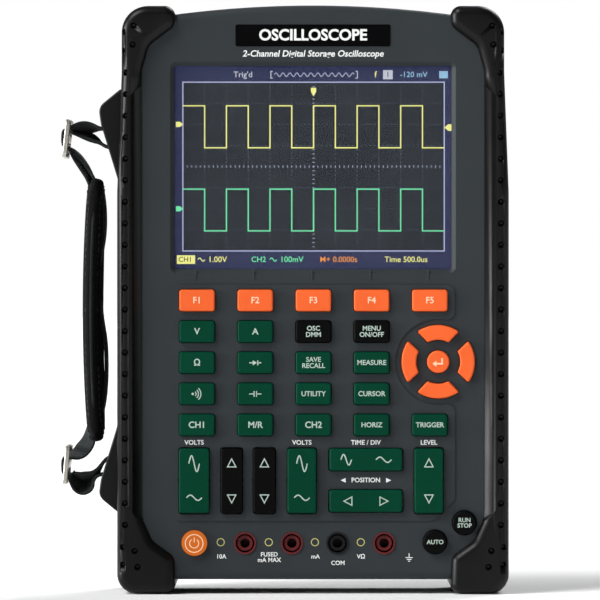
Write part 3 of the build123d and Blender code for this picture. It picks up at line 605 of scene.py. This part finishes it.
DIODE_LINES = [[(-2.5, 0), (-1.05, 0)], [(1.05, 0), (2.5, 0)], [(1.05, -1.05), (1.05, 1.05)]]
DIODE_ARROW = [[(-1.05, -1.05), (0.75, 0), (-1.05, 1.05)]]
PLATES = [[(-2.5, 0), (-0.5, 0)], [(0.5, 0), (2.5, 0)], [(-0.5, -1.2), (-0.5, 1.2)],
          [(0.5, -1.2), (0.5, 1.2)]]
RETURN_LINE = [[(-0.8, -0.8), (1.6, -0.8), (1.6, 1.5)]]
RETURN_ARROW = [[(-2.4, -0.8), (-0.8, -2.1), (-0.8, 0.56)]]
SOUND_ARCS = [arc_points(-1.6, 0, r, -48, 48, 10) for r in (1.2, 2.2, 3.2)]
SOUND_DOT = [arc_points(-1.8, 0, 0.5, 0, 345, 12)]
POWER_LINES = [arc_points(0, 0, 1.9, 125, 415), [(0, 0.4), (0, 2.5)]]
POWER_RING = [arc_points(0, 0, 3.7, 0, 352, 34)]


def plain_symbol(node, lines, fills=(), width=0.4):
    symbol(node, strips=from_centre(node, lines), fills=from_centre(node, fills), width=width * MM)


def key_symbols():
    plain_symbol("key_diode", DIODE_LINES, DIODE_ARROW, 0.45)
    plain_symbol("key_buzzer", SOUND_ARCS, SOUND_DOT)
    plain_symbol("key_capacitor", PLATES)
    ring = from_centre("key_power", POWER_RING)[0]
    lines = from_centre("key_power", POWER_LINES) + [(ring, True)]
    symbol("key_power", strips=lines, width=0.4 * MM)
    plain_symbol("key_enter", RETURN_LINE, RETURN_ARROW, 0.7)
    for node in ("rocker_volts_1", "rocker_volts_2", "rocker_time"):
        rocker_waves(node)
    for node in ("rocker_position_1", "rocker_position_2", "rocker_level", "rocker_position_time"):
        rocker_arrows(node)


TALL_ROCKER = 20 * MM
ARROW_OUT = 7.4  # a rocker's arrows from its middle, in mm
ARROW_HALF = 1.75


def upright(node):
    low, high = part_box(node)
    return high.z - low.z > high.x - low.x


def rocker_waves(node):
    """A tall wave at the coarse end and a flat one at the fine end."""
    c = centre(node)
    low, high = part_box(node)
    if upright(node):
        tall, flat = (c.x, c.z + 7.2 * MM), (c.x, c.z - 7.0 * MM)
    else:
        tall, flat = (c.x - 8.2 * MM, c.z), (c.x + 7.4 * MM, c.z)
    rise = 6.6 * MM if high.z - low.z > TALL_ROCKER else 4.4 * MM
    steep = sine_points(*tall, 4.4 * MM, rise)
    symbol(node, strips=[steep, sine_points(*flat, 6.4 * MM, 2.2 * MM)], width=0.5 * MM)


def rocker_arrows(node):
    """An open arrow at each end, pointing away from the middle."""
    strips = []
    for way in (-1, 1):
        tip, base = way * (ARROW_OUT + ARROW_HALF), way * (ARROW_OUT - ARROW_HALF * 0.9)
        corners = [(tip, 0), (base, ARROW_HALF), (base, -ARROW_HALF)]
        if upright(node):
            corners = [(b, a) for a, b in corners]
        strips.append((from_centre(node, [corners])[0], True))
    symbol(node, strips=strips, width=0.42 * MM)


# ---------------- printed on the case
PANEL_LETTER = 2.7 * MM
SOCKET_LETTER = 2.5 * MM
HEADING_GAP = 2.4 * MM  # from a rocker's top to the middle of its heading
HEADINGS = {"volts_1": "VOLTS", "volts_2": "VOLTS", "time": "TIME / DIV", "level": "LEVEL"}
SOCKET_WORDS = {  # word, x from the case's middle, z from the sockets, in mm
    "10a": ("10A", -38.2, -5.6), "fused": ("FUSED\nmA MAX", -18.2, -5.9), "ma": ("mA", 1.0, -5.6),
    "com": ("COM", 10.4, -8.3), "v_ohm": ("VΩ", 20.0, -5.6)}
SOCKET_MARKS_X = (-38.4, -18.4, 0.8, 19.9)
GROUND_AT = (40.0, -6.0)
GROUND_BARS = ((1.5, 0), (0.95, 0.75), (0.4, 1.5))  # half length, and drop


def case_text(name, text, x, z, size, y=PANEL_Y, **more):
    lettering("print_" + name, text, x, y - INK / 2, z, size, "housing", "case_plastic", **more)


def case_drawing(name, material, y, **shapes):
    drawing("print_" + name, "housing", "case_plastic", material, y - INK / 2,
            width=0.35 * MM, **shapes)


def case_legends():
    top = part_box("rocker_volts_1")[1].z + HEADING_GAP
    for name, text in HEADINGS.items():
        case_text(name, text, centre("rocker_" + name).x, top, PANEL_LETTER)
    c = (centre("rocker_time") + centre("rocker_position_time")) / 2
    case_text("position", "POSITION", c.x, c.z, PANEL_LETTER)
    arrows = []
    for way in (-1, 1):
        at = c.x + way * 9.2 * MM
        back = at - way * 0.8 * MM
        arrows.append([(at + way * 1.3 * MM, c.z), (back, c.z + MM), (back, c.z - MM)])
    case_drawing("position_arrows", "ink", PANEL_Y, fills=arrows)
    socket_z = centre("input_socket_black").z
    for name, (word, x, drop) in SOCKET_WORDS.items():
        case_text("socket_" + name, word, CENTRE_X + x * MM, socket_z + drop * MM, SOCKET_LETTER,
                  y=FACE_Y)
    marks = [arc_points(CENTRE_X + x * MM, socket_z + 0.4 * MM, 1.5 * MM, 0, 345, 22)
             for x in SOCKET_MARKS_X]
    case_drawing("socket_marks", "yellow_ink", FACE_Y, strips=[(m, True) for m in marks])
    x, z = CENTRE_X + GROUND_AT[0] * MM, socket_z + GROUND_AT[1] * MM
    lines = [[(x, z + 1.8 * MM), (x, z)]]
    lines += [[(x - w * MM, z - d * MM), (x + w * MM, z - d * MM)] for w, d in GROUND_BARS]
    case_drawing("ground", "ink", FACE_Y, strips=lines)
    plate = centre("name_plate")
    plate_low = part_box("name_plate")[0]
    case_text("subtitle", "2-Channel Digital Storage Oscilloscope", CENTRE_X,
              plate_low.z - 3.1 * MM, 3.7 * MM, y=FACE_Y, shear=0.18, fit=60 * MM)
    lettering("plate_text", "OSCILLOSCOPE", plate.x, plate_low.y - INK / 2, plate.z, 6.4 * MM,
              "housing", "plate", fit=52 * MM, bold=0.03)


RIB_SIZE = (0.7 * MM, 0.5 * MM, 4.2 * MM)


def window_ribs():
    """Short ribs on the lower lip of the screen opening, one over each function key."""
    bm = bmesh.new()
    for i in range(1, 6):
        at = (centre(f"key_f{i}").x - 0.6 * MM, FACE_Y - 0.05 * MM, window_low.z + 0.8 * MM)
        spot = Matrix.Translation(at) @ Matrix.Diagonal((*RIB_SIZE, 1))
        bmesh.ops.create_cube(bm, size=1.0, matrix=spot)
    rib = mesh_piece("window_ribs", bm)
    soft = rib.modifiers.new("round", "BEVEL")
    soft.width = 0.15 * MM
    soft.segments = 2
    place(rib, "housing", "case_plastic", "case")


# ---------------- screen
SCREEN_LAYER = 0.03 * MM  # step between the display's layers, toward the window
BORDER_LAYER, FIELD_LAYER, DOT_LAYER, FRAME_LAYER, TICK_LAYER = 0.6, 1.4, 2, 2.2, 2.5
TRACE_LAYER, MARK_LAYER, TEXT_LAYER = 4, 4.5, 5
SCREEN_DEPTH = 0.01 * MM
SCREEN_EDGE = 3.0 * MM  # window beyond the display, all round
SCREEN_LEFT = window_low.x + SCREEN_EDGE
SCREEN_LOW = window_low.z + SCREEN_EDGE
SCREEN_WIDE = (window_high.x - window_low.x - 2 * SCREEN_EDGE) / MM
SCREEN_TALL = (window_high.z - window_low.z - 2 * SCREEN_EDGE) / MM
DIVISIONS_ACROSS = 12
DIVISIONS_UP = 8
DOTS_PER_DIVISION = 5
DOT_HALF = 0.17
TICK_HALF = 0.55
TRACE_WIDE = 0.5
GRID = (3.5, 7.6, 112.5, 78.0)  # graticule on the display: left, low, right, high, in mm
TRACES = (("trace_1", "yellow", (6.88, 4.89)), ("trace_2", "trace_green", (2.93, 0.95)))
TOP_LINE = SCREEN_TALL - 3.6  # lines of text on the display, in mm
LOW_LINE = 4.0


def on_screen(x, z):
    """A place on the lit display, given in millimetres from its lower left corner."""
    return SCREEN_LEFT + x * MM, SCREEN_LOW + z * MM


def screen_piece(name, material, layer, strips=(), fills=(), width=0.4):
    y = window_high.y - layer * SCREEN_LAYER
    lines = [([on_screen(*p) for p in pts], closed) for pts, closed in strips]
    shapes = [[on_screen(*p) for p in pts] for pts in fills]
    return drawing("screen_" + name, "housing", "lcd", material, y, strips=lines, fills=shapes,
                   width=width * MM, depth=SCREEN_DEPTH)


def screen_text(name, text, x, z, size, material, fit=None):
    px, pz = on_screen(x, z)
    lettering("screen_" + name, text, px, window_high.y - TEXT_LAYER * SCREEN_LAYER, pz, size * MM,
              "housing", "lcd", material, align="LEFT", bold=0.006, depth=SCREEN_DEPTH,
              fit=fit * MM if fit else None)


def division(i, j):
    left, low, right, high = GRID
    return left + (right - left) * i / DIVISIONS_ACROSS, low + (high - low) * j / DIVISIONS_UP


def around(x, z, half_wide, half_tall):
    return box_points(x - half_wide, z - half_tall, x + half_wide, z + half_tall)


def grid_dots():
    """Dotted lines between the divisions, and ticks along the two middle lines."""
    per = DOTS_PER_DIVISION
    spots = [(i, k / per) for i in range(1, DIVISIONS_ACROSS) for k in range(1, DIVISIONS_UP * per)]
    spots += [(k / per, j) for j in range(1, DIVISIONS_UP) for k in range(1, DIVISIONS_ACROSS * per)
              if k % per]
    screen_piece("grid_dots", "faint_dots", DOT_LAYER,
                 fills=[around(*division(*spot), DOT_HALF, DOT_HALF) for spot in spots])
    ticks = []
    for k in range(1, DIVISIONS_ACROSS * per):
        x, z = division(k / per, DIVISIONS_UP / 2)
        ticks.append(([(x, z - TICK_HALF), (x, z + TICK_HALF)], False))
    for k in range(1, DIVISIONS_UP * per):
        x, z = division(DIVISIONS_ACROSS / 2, k / per)
        ticks.append(([(x - TICK_HALF, z), (x + TICK_HALF, z)], False))
    screen_piece("grid_ticks", "dots", TICK_LAYER, strips=ticks, width=0.16)


def square_wave(high, low):
    """Level changes once a division, from the left edge to the right."""
    points = []
    for i in range(DIVISIONS_ACROSS):
        level = high if i % 2 == 0 else low
        points += [division(i, level), division(i + 1, level)]
    return points


def screen_marks():
    """Trigger, channel and level markers beside the graticule."""
    def mark(name, colour, at, corners):
        screen_piece(name, colour, MARK_LAYER, fills=[[(at[0] + x, at[1] + z) for x, z in corners]])

    mark("trigger_mark", "yellow", division(6, 7.55),
         ((-1.1, 1.6), (-1.1, 0), (0, -1.9), (1.1, 0), (1.1, 1.6)))
    for n, level, colour in ((1, 6.0, "yellow"), (2, 2.0, "trace_green")):
        mark(f"channel_mark_{n}", colour, division(0, level),
             ((-2.9, -1.1), (-1.2, -1.1), (0.1, 0), (-1.2, 1.1), (-2.9, 1.1)))
    mark("level_mark", "yellow", division(DIVISIONS_ACROSS, 5.85),
         ((0, 0), (1.7, 1.4), (3.0, 1.4), (3.0, -1.4), (1.7, -1.4)))


def screen_header():
    """Trigger state, the record's overview and the trigger's source and level."""
    z = TOP_LINE
    screen_text("state", "Trig'd", 24.6, z, 3.4, "white")
    brackets = []
    for x, foot in ((40.2, 41.0), (76.3, 75.5)):
        brackets.append(([(foot, z - 1.4), (x, z - 1.4), (x, z + 1.4), (foot, z + 1.4)], False))
    screen_piece("memory_ends", "white", TRACE_LAYER, strips=brackets, width=0.35)
    ripple = [(41.6 + 33.4 * i / 80, z + 0.8 * math.sin(i * 0.9)) for i in range(81)]
    screen_piece("memory_wave", "dots", TRACE_LAYER, strips=[(ripple, False)], width=0.3)
    screen_text("edge", "f", 83.4, z, 3.6, "yellow")
    screen_piece("source_box", "white", TRACE_LAYER, fills=[around(89.0, z, 2.0, 1.9)])
    screen_text("source", "1", 88.2, z, 3.2, "field")
    screen_text("offset", "-120 mV", 94.0, z, 3.3, "cyan", fit=15.5)
    screen_piece("link", "cyan", TRACE_LAYER, fills=[around(112.2, z, 1.8, 1.5)])


def coupling(n, colour, x):
    wave = sine_points(x, LOW_LINE, 2.8, 1.4, count=14)
    screen_piece(f"coupling_{n}", colour, TRACE_LAYER, strips=[(wave, False)], width=0.35)


def screen_footer():
    """Each channel's coupling and scale, the delay and the time base."""
    z = LOW_LINE
    screen_piece("channel_box", "yellow", TRACE_LAYER, fills=[around(4.8, z, 3.8, 1.8)])
    screen_text("channel_1", "CH1", 1.6, z, 3.0, "field", fit=6.6)
    coupling(1, "yellow", 11.2)
    screen_text("scale_1", "1.00V", 14.0, z, 3.4, "yellow", fit=9.6)
    screen_text("channel_2", "CH2", 32.0, z, 3.2, "trace_green", fit=7.0)
    coupling(2, "trace_green", 41.2)
    screen_text("scale_2", "100mV", 44.0, z, 3.4, "trace_green", fit=12.0)
    screen_text("delay", "M+ 0.0000s", 60.6, z, 3.3, "amber", fit=21.0)
    screen_text("time", "Time 500.0us", 87.6, z, 3.3, "yellow", fit=25.0)


def build_screen():
    screen_piece("border", "border", BORDER_LAYER,
                 fills=[box_points(0.1, 0.1, SCREEN_WIDE - 0.1, SCREEN_TALL - 0.1)])
    screen_piece("field", "field", FIELD_LAYER, fills=[box_points(*GRID)])
    screen_piece("frame", "frame_line", FRAME_LAYER, strips=[(box_points(*GRID), True)], width=0.45)
    grid_dots()
    for name, colour, levels in TRACES:
        wave = square_wave(*levels)
        screen_piece(name, colour, TRACE_LAYER, strips=[(wave, False)], width=TRACE_WIDE)
    screen_marks()
    screen_header()
    screen_footer()


# ---------------- strap
# Runs: x from the middle of the case and z from the lug bar, in mm, and roll in degrees.
WEB_WIDE = 18.0 * MM
WEB_THICK = 1.4 * MM
WEB_COLUMNS = 10
BAR_REACH = 68.8 * MM  # each lug bar from the strap's middle
PAD_STRIP_WIDE = 16.0 * MM
UPPER_RUN = (
    (-92.6, -22.0, -4), (-93.6, -17.0, -8), (-96.4, -12.0, -11), (-99.6, -7.4, -10),
    (-101.8, -4.6, -3), (-104.0, -3.9, 0), (-105.0, -2.8, 0), (-105.0, 1.6, 0),
    (-104.5, 3.2, 0), (-102.6, 3.3, -2), (-99.8, 3.9, -11), (-96.0, 4.6, -14),
    (-92.2, 4.4, -9), (-89.6, 4.1, 0), (-87.0, 4.0, 0), (-83.4, 4.0, 0), (-80.4, 2.6, 0),
    (-80.4, -2.6, 0), (-83.4, -4.1, 0), (-86.8, -3.7, 0), (-89.0, -2.4, 0),
    (-91.4, -0.8, -9), (-94.8, 1.0, -12), (-98.4, 2.0, -8), (-101.0, 2.2, -2))
LOWER_RUN = (
    (-93.4, 18.0, -8), (-93.6, 13.0, -16), (-94.8, 9.0, -20), (-98.0, 5.6, -20),
    (-101.0, 4.4, -10), (-104.2, 3.6, 0), (-105.0, 2.2, 0), (-105.0, -2.0, 0),
    (-104.5, -3.4, 0), (-102.6, -3.8, 0), (-100.6, -5.8, 12), (-97.4, -8.4, 25),
    (-94.6, -8.2, 22), (-92.4, -5.4, 6), (-89.8, -3.8, 0), (-87.0, -4.1, 0),
    (-83.6, -4.1, 0), (-80.4, -2.6, 0), (-80.4, 2.6, 0), (-83.4, 4.0, 0), (-86.4, 3.2, 0),
    (-88.6, 0.8, 0), (-90.4, -2.2, 4), (-93.4, -5.0, 16), (-97.2, -5.4, 16),
    (-99.6, -4.0, 10), (-101.0, -2.8, 0))
UPPER_TAIL = (
    (-100.8, -6.6, -4), (-98.2, -9.6, -9), (-94.6, -14.4, -9), (-91.6, -18.4, -4),
    (-90.6, -25.0, 0))
PAD_STRIP = (  # sewn along the pad's inner face; z from the pad's middle
    (-91.6, 51.5, 0), (-88.6, 48.0, 0), (-87.4, 38.0, 0), (-87.6, 28.0, 0), (-89.4, 18.0, 0),
    (-89.8, 2.0, 0), (-88.6, -8.0, 0), (-86.9, -18.0, 0), (-86.8, -34.0, 0), (-88.2, -46.0, 0),
    (-91.0, -51.0, 0))
ROUNDING_PASSES = 3


def rounded(points):
    """Corner cutting that turns a list of corners into a smooth run."""
    for _ in range(ROUNDING_PASSES):
        cut = [points[0]]
        for p, q in zip(points, points[1:]):
            cut.append(tuple(0.75 * a + 0.25 * b for a, b in zip(p, q)))
            cut.append(tuple(0.25 * a + 0.75 * b for a, b in zip(p, q)))
        points = cut + [points[-1]]
    return points


def band(name, run, base_z, wide=WEB_WIDE):
    """Webbing: a flat band with raised edges along a smooth run, rolled about it."""
    run = rounded(run)
    line = [Vector((CENTRE_X + x * MM, 0, base_z + z * MM)) for x, z, _ in run]
    bm = bmesh.new()
    rows = []
    for i, p in enumerate(line):
        way = (line[min(len(line) - 1, i + 1)] - line[max(0, i - 1)]).normalized()
        out = Vector((-way.z, 0, way.x))
        turn = math.radians(run[i][2])
        width_way = Vector((0, math.cos(turn), 0)) + out * math.sin(turn)
        thick_way = out * math.cos(turn) - Vector((0, math.sin(turn), 0))
        row = []
        for face in (-1, 1):
            side = []
            for k in range(WEB_COLUMNS + 1):
                t = 2 * k / WEB_COLUMNS - 1
                half = WEB_THICK / 2 * (1 - 0.45 * abs(t) ** 10) * (1 - 0.08 * math.cos(t * 9))
                offset = width_way * (t * wide / 2) + thick_way * (face * half)
                side.append(bm.verts.new(p + offset))
            row.append(side)
        rows.append(row[0] + list(reversed(row[1])))
    skin(bm, rows)
    bmesh.ops.recalc_face_normals(bm, faces=bm.faces)
    piece = mesh_piece(name, bm)
    crease(piece, 50)
    return place(piece, "strap", "webbing", "webbing")


def webbing():
    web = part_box("strap_webbing")
    middle = (web[0].z + web[1].z) / 2
    upper = band("upper_webbing", UPPER_RUN, middle + BAR_REACH)
    band("upper_webbing_tail", UPPER_TAIL, middle + BAR_REACH)
    band("lower_webbing", LOWER_RUN, middle - BAR_REACH)
    band("pad_inner_strip", PAD_STRIP, middle, wide=PAD_STRIP_WIDE)
    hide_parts("strap_webbing")


BUCKLES = (("buckle_upper", 1, 6.5), ("buckle_lower", -1, 5.0))  # name, side, lean in degrees


def tilted_buckles():
    """The steel slides lean a little under the webbing's pull."""
    source = nodes["strap_buckles"].data
    low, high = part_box("strap_buckles")
    middle = (low.z + high.z) / 2
    for name, way, lean in BUCKLES:
        bm = bmesh.new()
        bm.from_mesh(source)
        other = [v for v in bm.verts if (v.co.z - middle) * way < 0]
        bmesh.ops.delete(bm, geom=other, context="VERTS")
        bmesh.ops.remove_doubles(bm, verts=bm.verts, dist=0.005 * MM)
        zs = [v.co.z for v in bm.verts]
        at = Vector(((low.x + high.x) / 2, 0, (min(zs) + max(zs)) / 2))
        turn = Matrix.Rotation(math.radians(lean), 3, "Y")
        bmesh.ops.rotate(bm, cent=at, matrix=turn, verts=bm.verts)
        piece = mesh_piece(name, bm)
        soft = piece.modifiers.new("edges", "BEVEL")
        soft.width = 0.35 * MM
        soft.segments = 2
        soft.limit_method = "ANGLE"
        soft.angle_limit = math.radians(50)
        crease(piece, 40)
        place(piece, "strap", "buckle_steel", "steel")
    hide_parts("strap_buckles")


PAD_RINGS = 84
PAD_AROUND = 72
PAD_BOW = 1.8 * MM
PAD_SHRINK = 0.7 * MM  # the pad starts smaller by what it swells
PAD_SWELL_CAP = 0.7 * MM
PAD_END = 0.05  # share of the half length over which an end closes
PAD_TAPER = 0.14  # how much narrower the ends are than the middle
SEAM_INSET = 3.4 * MM
SEAM_DEPTH = 0.42
SEAM_WIDE = 0.9 * MM
SEAM_PIN = 1.2 * MM  # cloth held inside the seam
VOXEL = 1.2 * MM
PRESSURE = 4.0
CLOTH_STEPS = 20
PIPING_RADIUS = 0.85 * MM
PIPING_SIDES = 8
PIPING_STEP = 1.6 * MM
STITCH_INSET = 2.4 * MM
STITCH_PITCH = 2.6 * MM
STITCH_SIZE = (0.32 * MM, 0.32 * MM, 1.0 * MM)
STITCH_LIFT = 0.1 * MM


def seam_dip(inset):
    """How far the stitched line pulls the cloth in, at a distance from the pad's rim."""
    return 1 - SEAM_DEPTH * math.exp(-((inset - SEAM_INSET) / SEAM_WIDE) ** 2)


def pad_shape(name, shrink):
    """Closed, crowned grip: a rounded section swept along a gentle bow, with a sewn rim."""
    low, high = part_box("strap_pad")
    tall = high.z - low.z
    mid_z = (low.z + high.z) / 2
    thick = (high.x - low.x - PAD_BOW) / 2 - shrink
    wide = (high.y - low.y) / 2 - shrink
    centre_x = (low.x + high.x) / 2 + PAD_BOW / 2
    bm = bmesh.new()
    rings = []
    for i in range(PAD_RINGS + 1):
        s = -math.cos(math.pi * i / PAD_RINGS)
        end = max(0.0, (abs(s) - (1 - PAD_END)) / PAD_END)
        swell = math.sqrt(max(0.12, 1 - end * end))
        z = mid_z + s * (tall / 2 - shrink)
        x = centre_x - PAD_BOW * (1 - s * s)
        from_end = (1 - abs(s)) * tall / 2
        ring = []
        for k in range(PAD_AROUND):
            a = 2 * math.pi * k / PAD_AROUND
            c, d = math.cos(a), math.sin(a)
            half_wide = wide * (1 - PAD_TAPER * s * s) * (0.8 + 0.2 * swell)
            py = abs(d) ** 0.8 * math.copysign(1, d) * half_wide
            dip = min(seam_dip(half_wide - abs(py)), seam_dip(from_end))
            px = abs(c) ** 0.6 * math.copysign(1, c) * thick * swell * dip * (1 - 0.1 * abs(s) ** 3)
            ring.append(bm.verts.new((x + px, py, z)))
        rings.append(ring)
    skin(bm, rings)
    bmesh.ops.recalc_face_normals(bm, faces=bm.faces)
    return mesh_piece(name, bm)


def apply_modifiers(obj):
    made = evaluated_mesh(obj)
    obj.modifiers.clear()
    obj.data = made


def inflate(obj):
    """Stuff the pad: cloth under pressure, held along its sewn rim, its travel capped."""
    remesh = obj.modifiers.new("remesh", "REMESH")
    remesh.mode = "VOXEL"
    remesh.voxel_size = VOXEL
    apply_modifiers(obj)
    rest = [v.co.copy() for v in obj.data.vertices]
    low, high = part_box("strap_pad")
    half_y = (high.y - low.y) / 2
    middle = (low.z + high.z) / 2
    half_z = (high.z - low.z) / 2
    pins = obj.vertex_groups.new(name="rim")
    for i, p in enumerate(rest):
        inset = min(half_y - abs(p.y), half_z - abs(p.z - middle))
        if inset < SEAM_INSET + SEAM_PIN:
            pins.add([i], 1.0, "REPLACE")
    cloth = obj.modifiers.new("stuffing", "CLOTH")
    cloth.settings.use_pressure = True
    cloth.settings.uniform_pressure_force = PRESSURE
    cloth.settings.vertex_group_mass = "rim"
    cloth.settings.effector_weights.gravity = 0.0
    cloth.settings.quality = 4
    for step in range(1, CLOTH_STEPS + 1):
        scene.frame_set(step)
    apply_modifiers(obj)
    for v, p in zip(obj.data.vertices, rest):
        move = v.co - p
        if move.length > PAD_SWELL_CAP:
            v.co = p + move.normalized() * PAD_SWELL_CAP
    scene.frame_set(1)


def strap_pad():
    pad = pad_shape("grip_pad", PAD_SHRINK)
    inflate(pad)
    sub = pad.modifiers.new("smooth", "SUBSURF")
    sub.levels = sub.render_levels = 1
    soft_faces(pad)
    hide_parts("strap_pad")
    place(pad, "strap", "pad", "pad")
    pad_piping()
    pad_stitches(pad)


def rim_point(angle, inset):
    """A point on the pad's outline, set in from its edge."""
    low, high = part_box("strap_pad")
    half_z = (high.z - low.z) / 2 - 1.5 * MM
    half_y = (high.y - low.y) / 2 - 1.3 * MM
    c, d = math.cos(angle), math.sin(angle)
    z = abs(d) ** 0.25 * math.copysign(1, d) * (half_z - inset)
    s = z / half_z
    y = abs(c) ** 0.5 * math.copysign(1, c) * (half_y - inset) * (1 - PAD_TAPER * s * s)
    x = (low.x + high.x) / 2 + PAD_BOW / 2 - PAD_BOW * (1 - s * s)
    return Vector((x, y, (low.z + high.z) / 2 + z))


def even_rim(inset, step):
    """Points at an even step round the pad's outline."""
    fine = [rim_point(2 * math.pi * i / 900, inset) for i in range(901)]
    points, run = [fine[0]], 0.0
    for p, q in zip(fine, fine[1:]):
        run += (q - p).length
        if run >= step:
            points.append(q)
            run = 0.0
    return points


def pad_piping():
    """Round piping along the pad's edge."""
    path = even_rim(0.0, PIPING_STEP)
    turns = [2 * math.pi * k / PIPING_SIDES for k in range(PIPING_SIDES)]
    bm = bmesh.new()
    rings = []
    for i, p in enumerate(path):
        way = (path[(i + 1) % len(path)] - path[i - 1]).normalized()
        side = way.cross(Vector((1, 0, 0))).normalized()
        up = side.cross(way)
        rings.append([bm.verts.new(p + (side * math.cos(a) + up * math.sin(a)) * PIPING_RADIUS)
                      for a in turns])
    skin(bm, rings, capped=False)
    bmesh.ops.recalc_face_normals(bm, faces=bm.faces)
    piping = mesh_piece("pad_piping", bm)
    soft_faces(piping)
    place(piping, "strap", "pad", "webbing")


def pad_stitches(pad):
    """A line of stitches on each face of the pad."""
    tree = tree_of(pad.data)
    bm = bmesh.new()
    points = even_rim(STITCH_INSET, STITCH_PITCH)
    for face in (-1, 1):
        for p, q in zip(points, points[1:]):
            hit, _ = surface_point(tree, (p.x + face * RAY_BACK, p.y, p.z), Vector((-face, 0, 0)))
            if hit is None:
                continue
            along = (q - p).normalized()
            turn = Vector((0, 0, 1)).rotation_difference(along).to_matrix().to_4x4()
            spot = Matrix.Translation(hit + Vector((face * STITCH_LIFT, 0, 0))) @ turn
            bmesh.ops.create_uvsphere(bm, u_segments=6, v_segments=5, radius=1.0,
                                      matrix=spot @ Matrix.Diagonal((*STITCH_SIZE, 1)))
    stitches = mesh_piece("pad_stitches", bm)
    soft_faces(stitches)
    place(stitches, "strap", "pad", "thread")


# ---------------- studio and camera
FLOOR_DROP = 0.2 * MM
FLOOR_SIZE = 60.0
FLOOR_WHITE = (0.95, 0.95, 0.95, 1)
FILL_LIGHT = 0.1
FILL_TINT = (0.96, 0.98, 1, 1)
SUNS = (  # name, direction it comes from, power, spread in degrees
    ("key", (-0.6, -0.45, 0.9), 2.5, 24), ("left", (-1.0, -0.2, 0.12), 4.2, 26),
    ("back", (0.5, 0.85, 0.9), 2.1, 30))
SENSOR = 36.0
CAMERA_DISTANCE = 1.9
VIEW_WIDTH = 0.2497  # width of the picture at the case's face
AIM_LEFT = 5.4 * MM
AIM_HEIGHT = 122.2 * MM


def studio():
    """White room: evenly lit floor and background, light from the upper left, little fill."""
    bpy.ops.mesh.primitive_plane_add(size=FLOOR_SIZE, location=(0, 0, -FLOOR_DROP))
    floor = bpy.context.object
    floor.name = "studio_floor"
    m = bpy.data.materials.new("studio_white")
    m.use_nodes = True
    shader = m.node_tree.nodes["Principled BSDF"]
    shader.inputs["Base Color"].default_value = FLOOR_WHITE
    shader.inputs["Roughness"].default_value = 1.0
    shader.inputs["Specular IOR Level"].default_value = 0.0
    floor.data.materials.append(m)
    world = bpy.data.worlds.new("studio")
    world.use_nodes = True
    t = world.node_tree
    seen = t.nodes["Background"]
    seen.inputs["Color"].default_value = (1, 1, 1, 1)
    seen.inputs["Strength"].default_value = 1.0
    fill = t.nodes.new("ShaderNodeBackground")
    fill.inputs["Color"].default_value = FILL_TINT
    fill.inputs["Strength"].default_value = FILL_LIGHT
    path = t.nodes.new("ShaderNodeLightPath")
    mix = t.nodes.new("ShaderNodeMixShader")
    t.links.new(path.outputs["Is Camera Ray"], mix.inputs["Fac"])
    t.links.new(fill.outputs["Background"], mix.inputs[1])
    t.links.new(seen.outputs["Background"], mix.inputs[2])
    t.links.new(mix.outputs["Shader"], t.nodes["World Output"].inputs["Surface"])
    scene.world = world
    scene.view_settings.view_transform = "Standard"
    for light in SUNS:
        sun(*light)


def sun(name, toward, power, spread):
    light = bpy.data.lights.new(name, "SUN")
    light.energy = power
    light.angle = math.radians(spread)
    obj = bpy.data.objects.new(name, light)
    obj.location = Vector(toward) * 2
    obj.rotation_mode = "QUATERNION"
    obj.rotation_quaternion = (-Vector(toward)).to_track_quat("-Z", "Y")
    scene.collection.objects.link(obj)


def camera():
    data = bpy.data.cameras.new("camera")
    data.sensor_width = SENSOR
    data.lens = SENSOR * (CAMERA_DISTANCE + FACE_Y) / VIEW_WIDTH
    data.dof.use_dof = False
    obj = bpy.data.objects.new("camera", data)
    obj.location = (CENTRE_X - AIM_LEFT, -CAMERA_DISTANCE, AIM_HEIGHT)
    obj.rotation_euler = (math.pi / 2, 0, 0)
    scene.collection.objects.link(obj)
    scene.camera = obj


finish_nodes()
boot("left_bumper", -1)
boot("right_bumper", 1)
key_legends()
key_symbols()
case_legends()
window_ribs()
build_screen()
webbing()
tilted_buckles()
strap_pad()
studio()
camera()
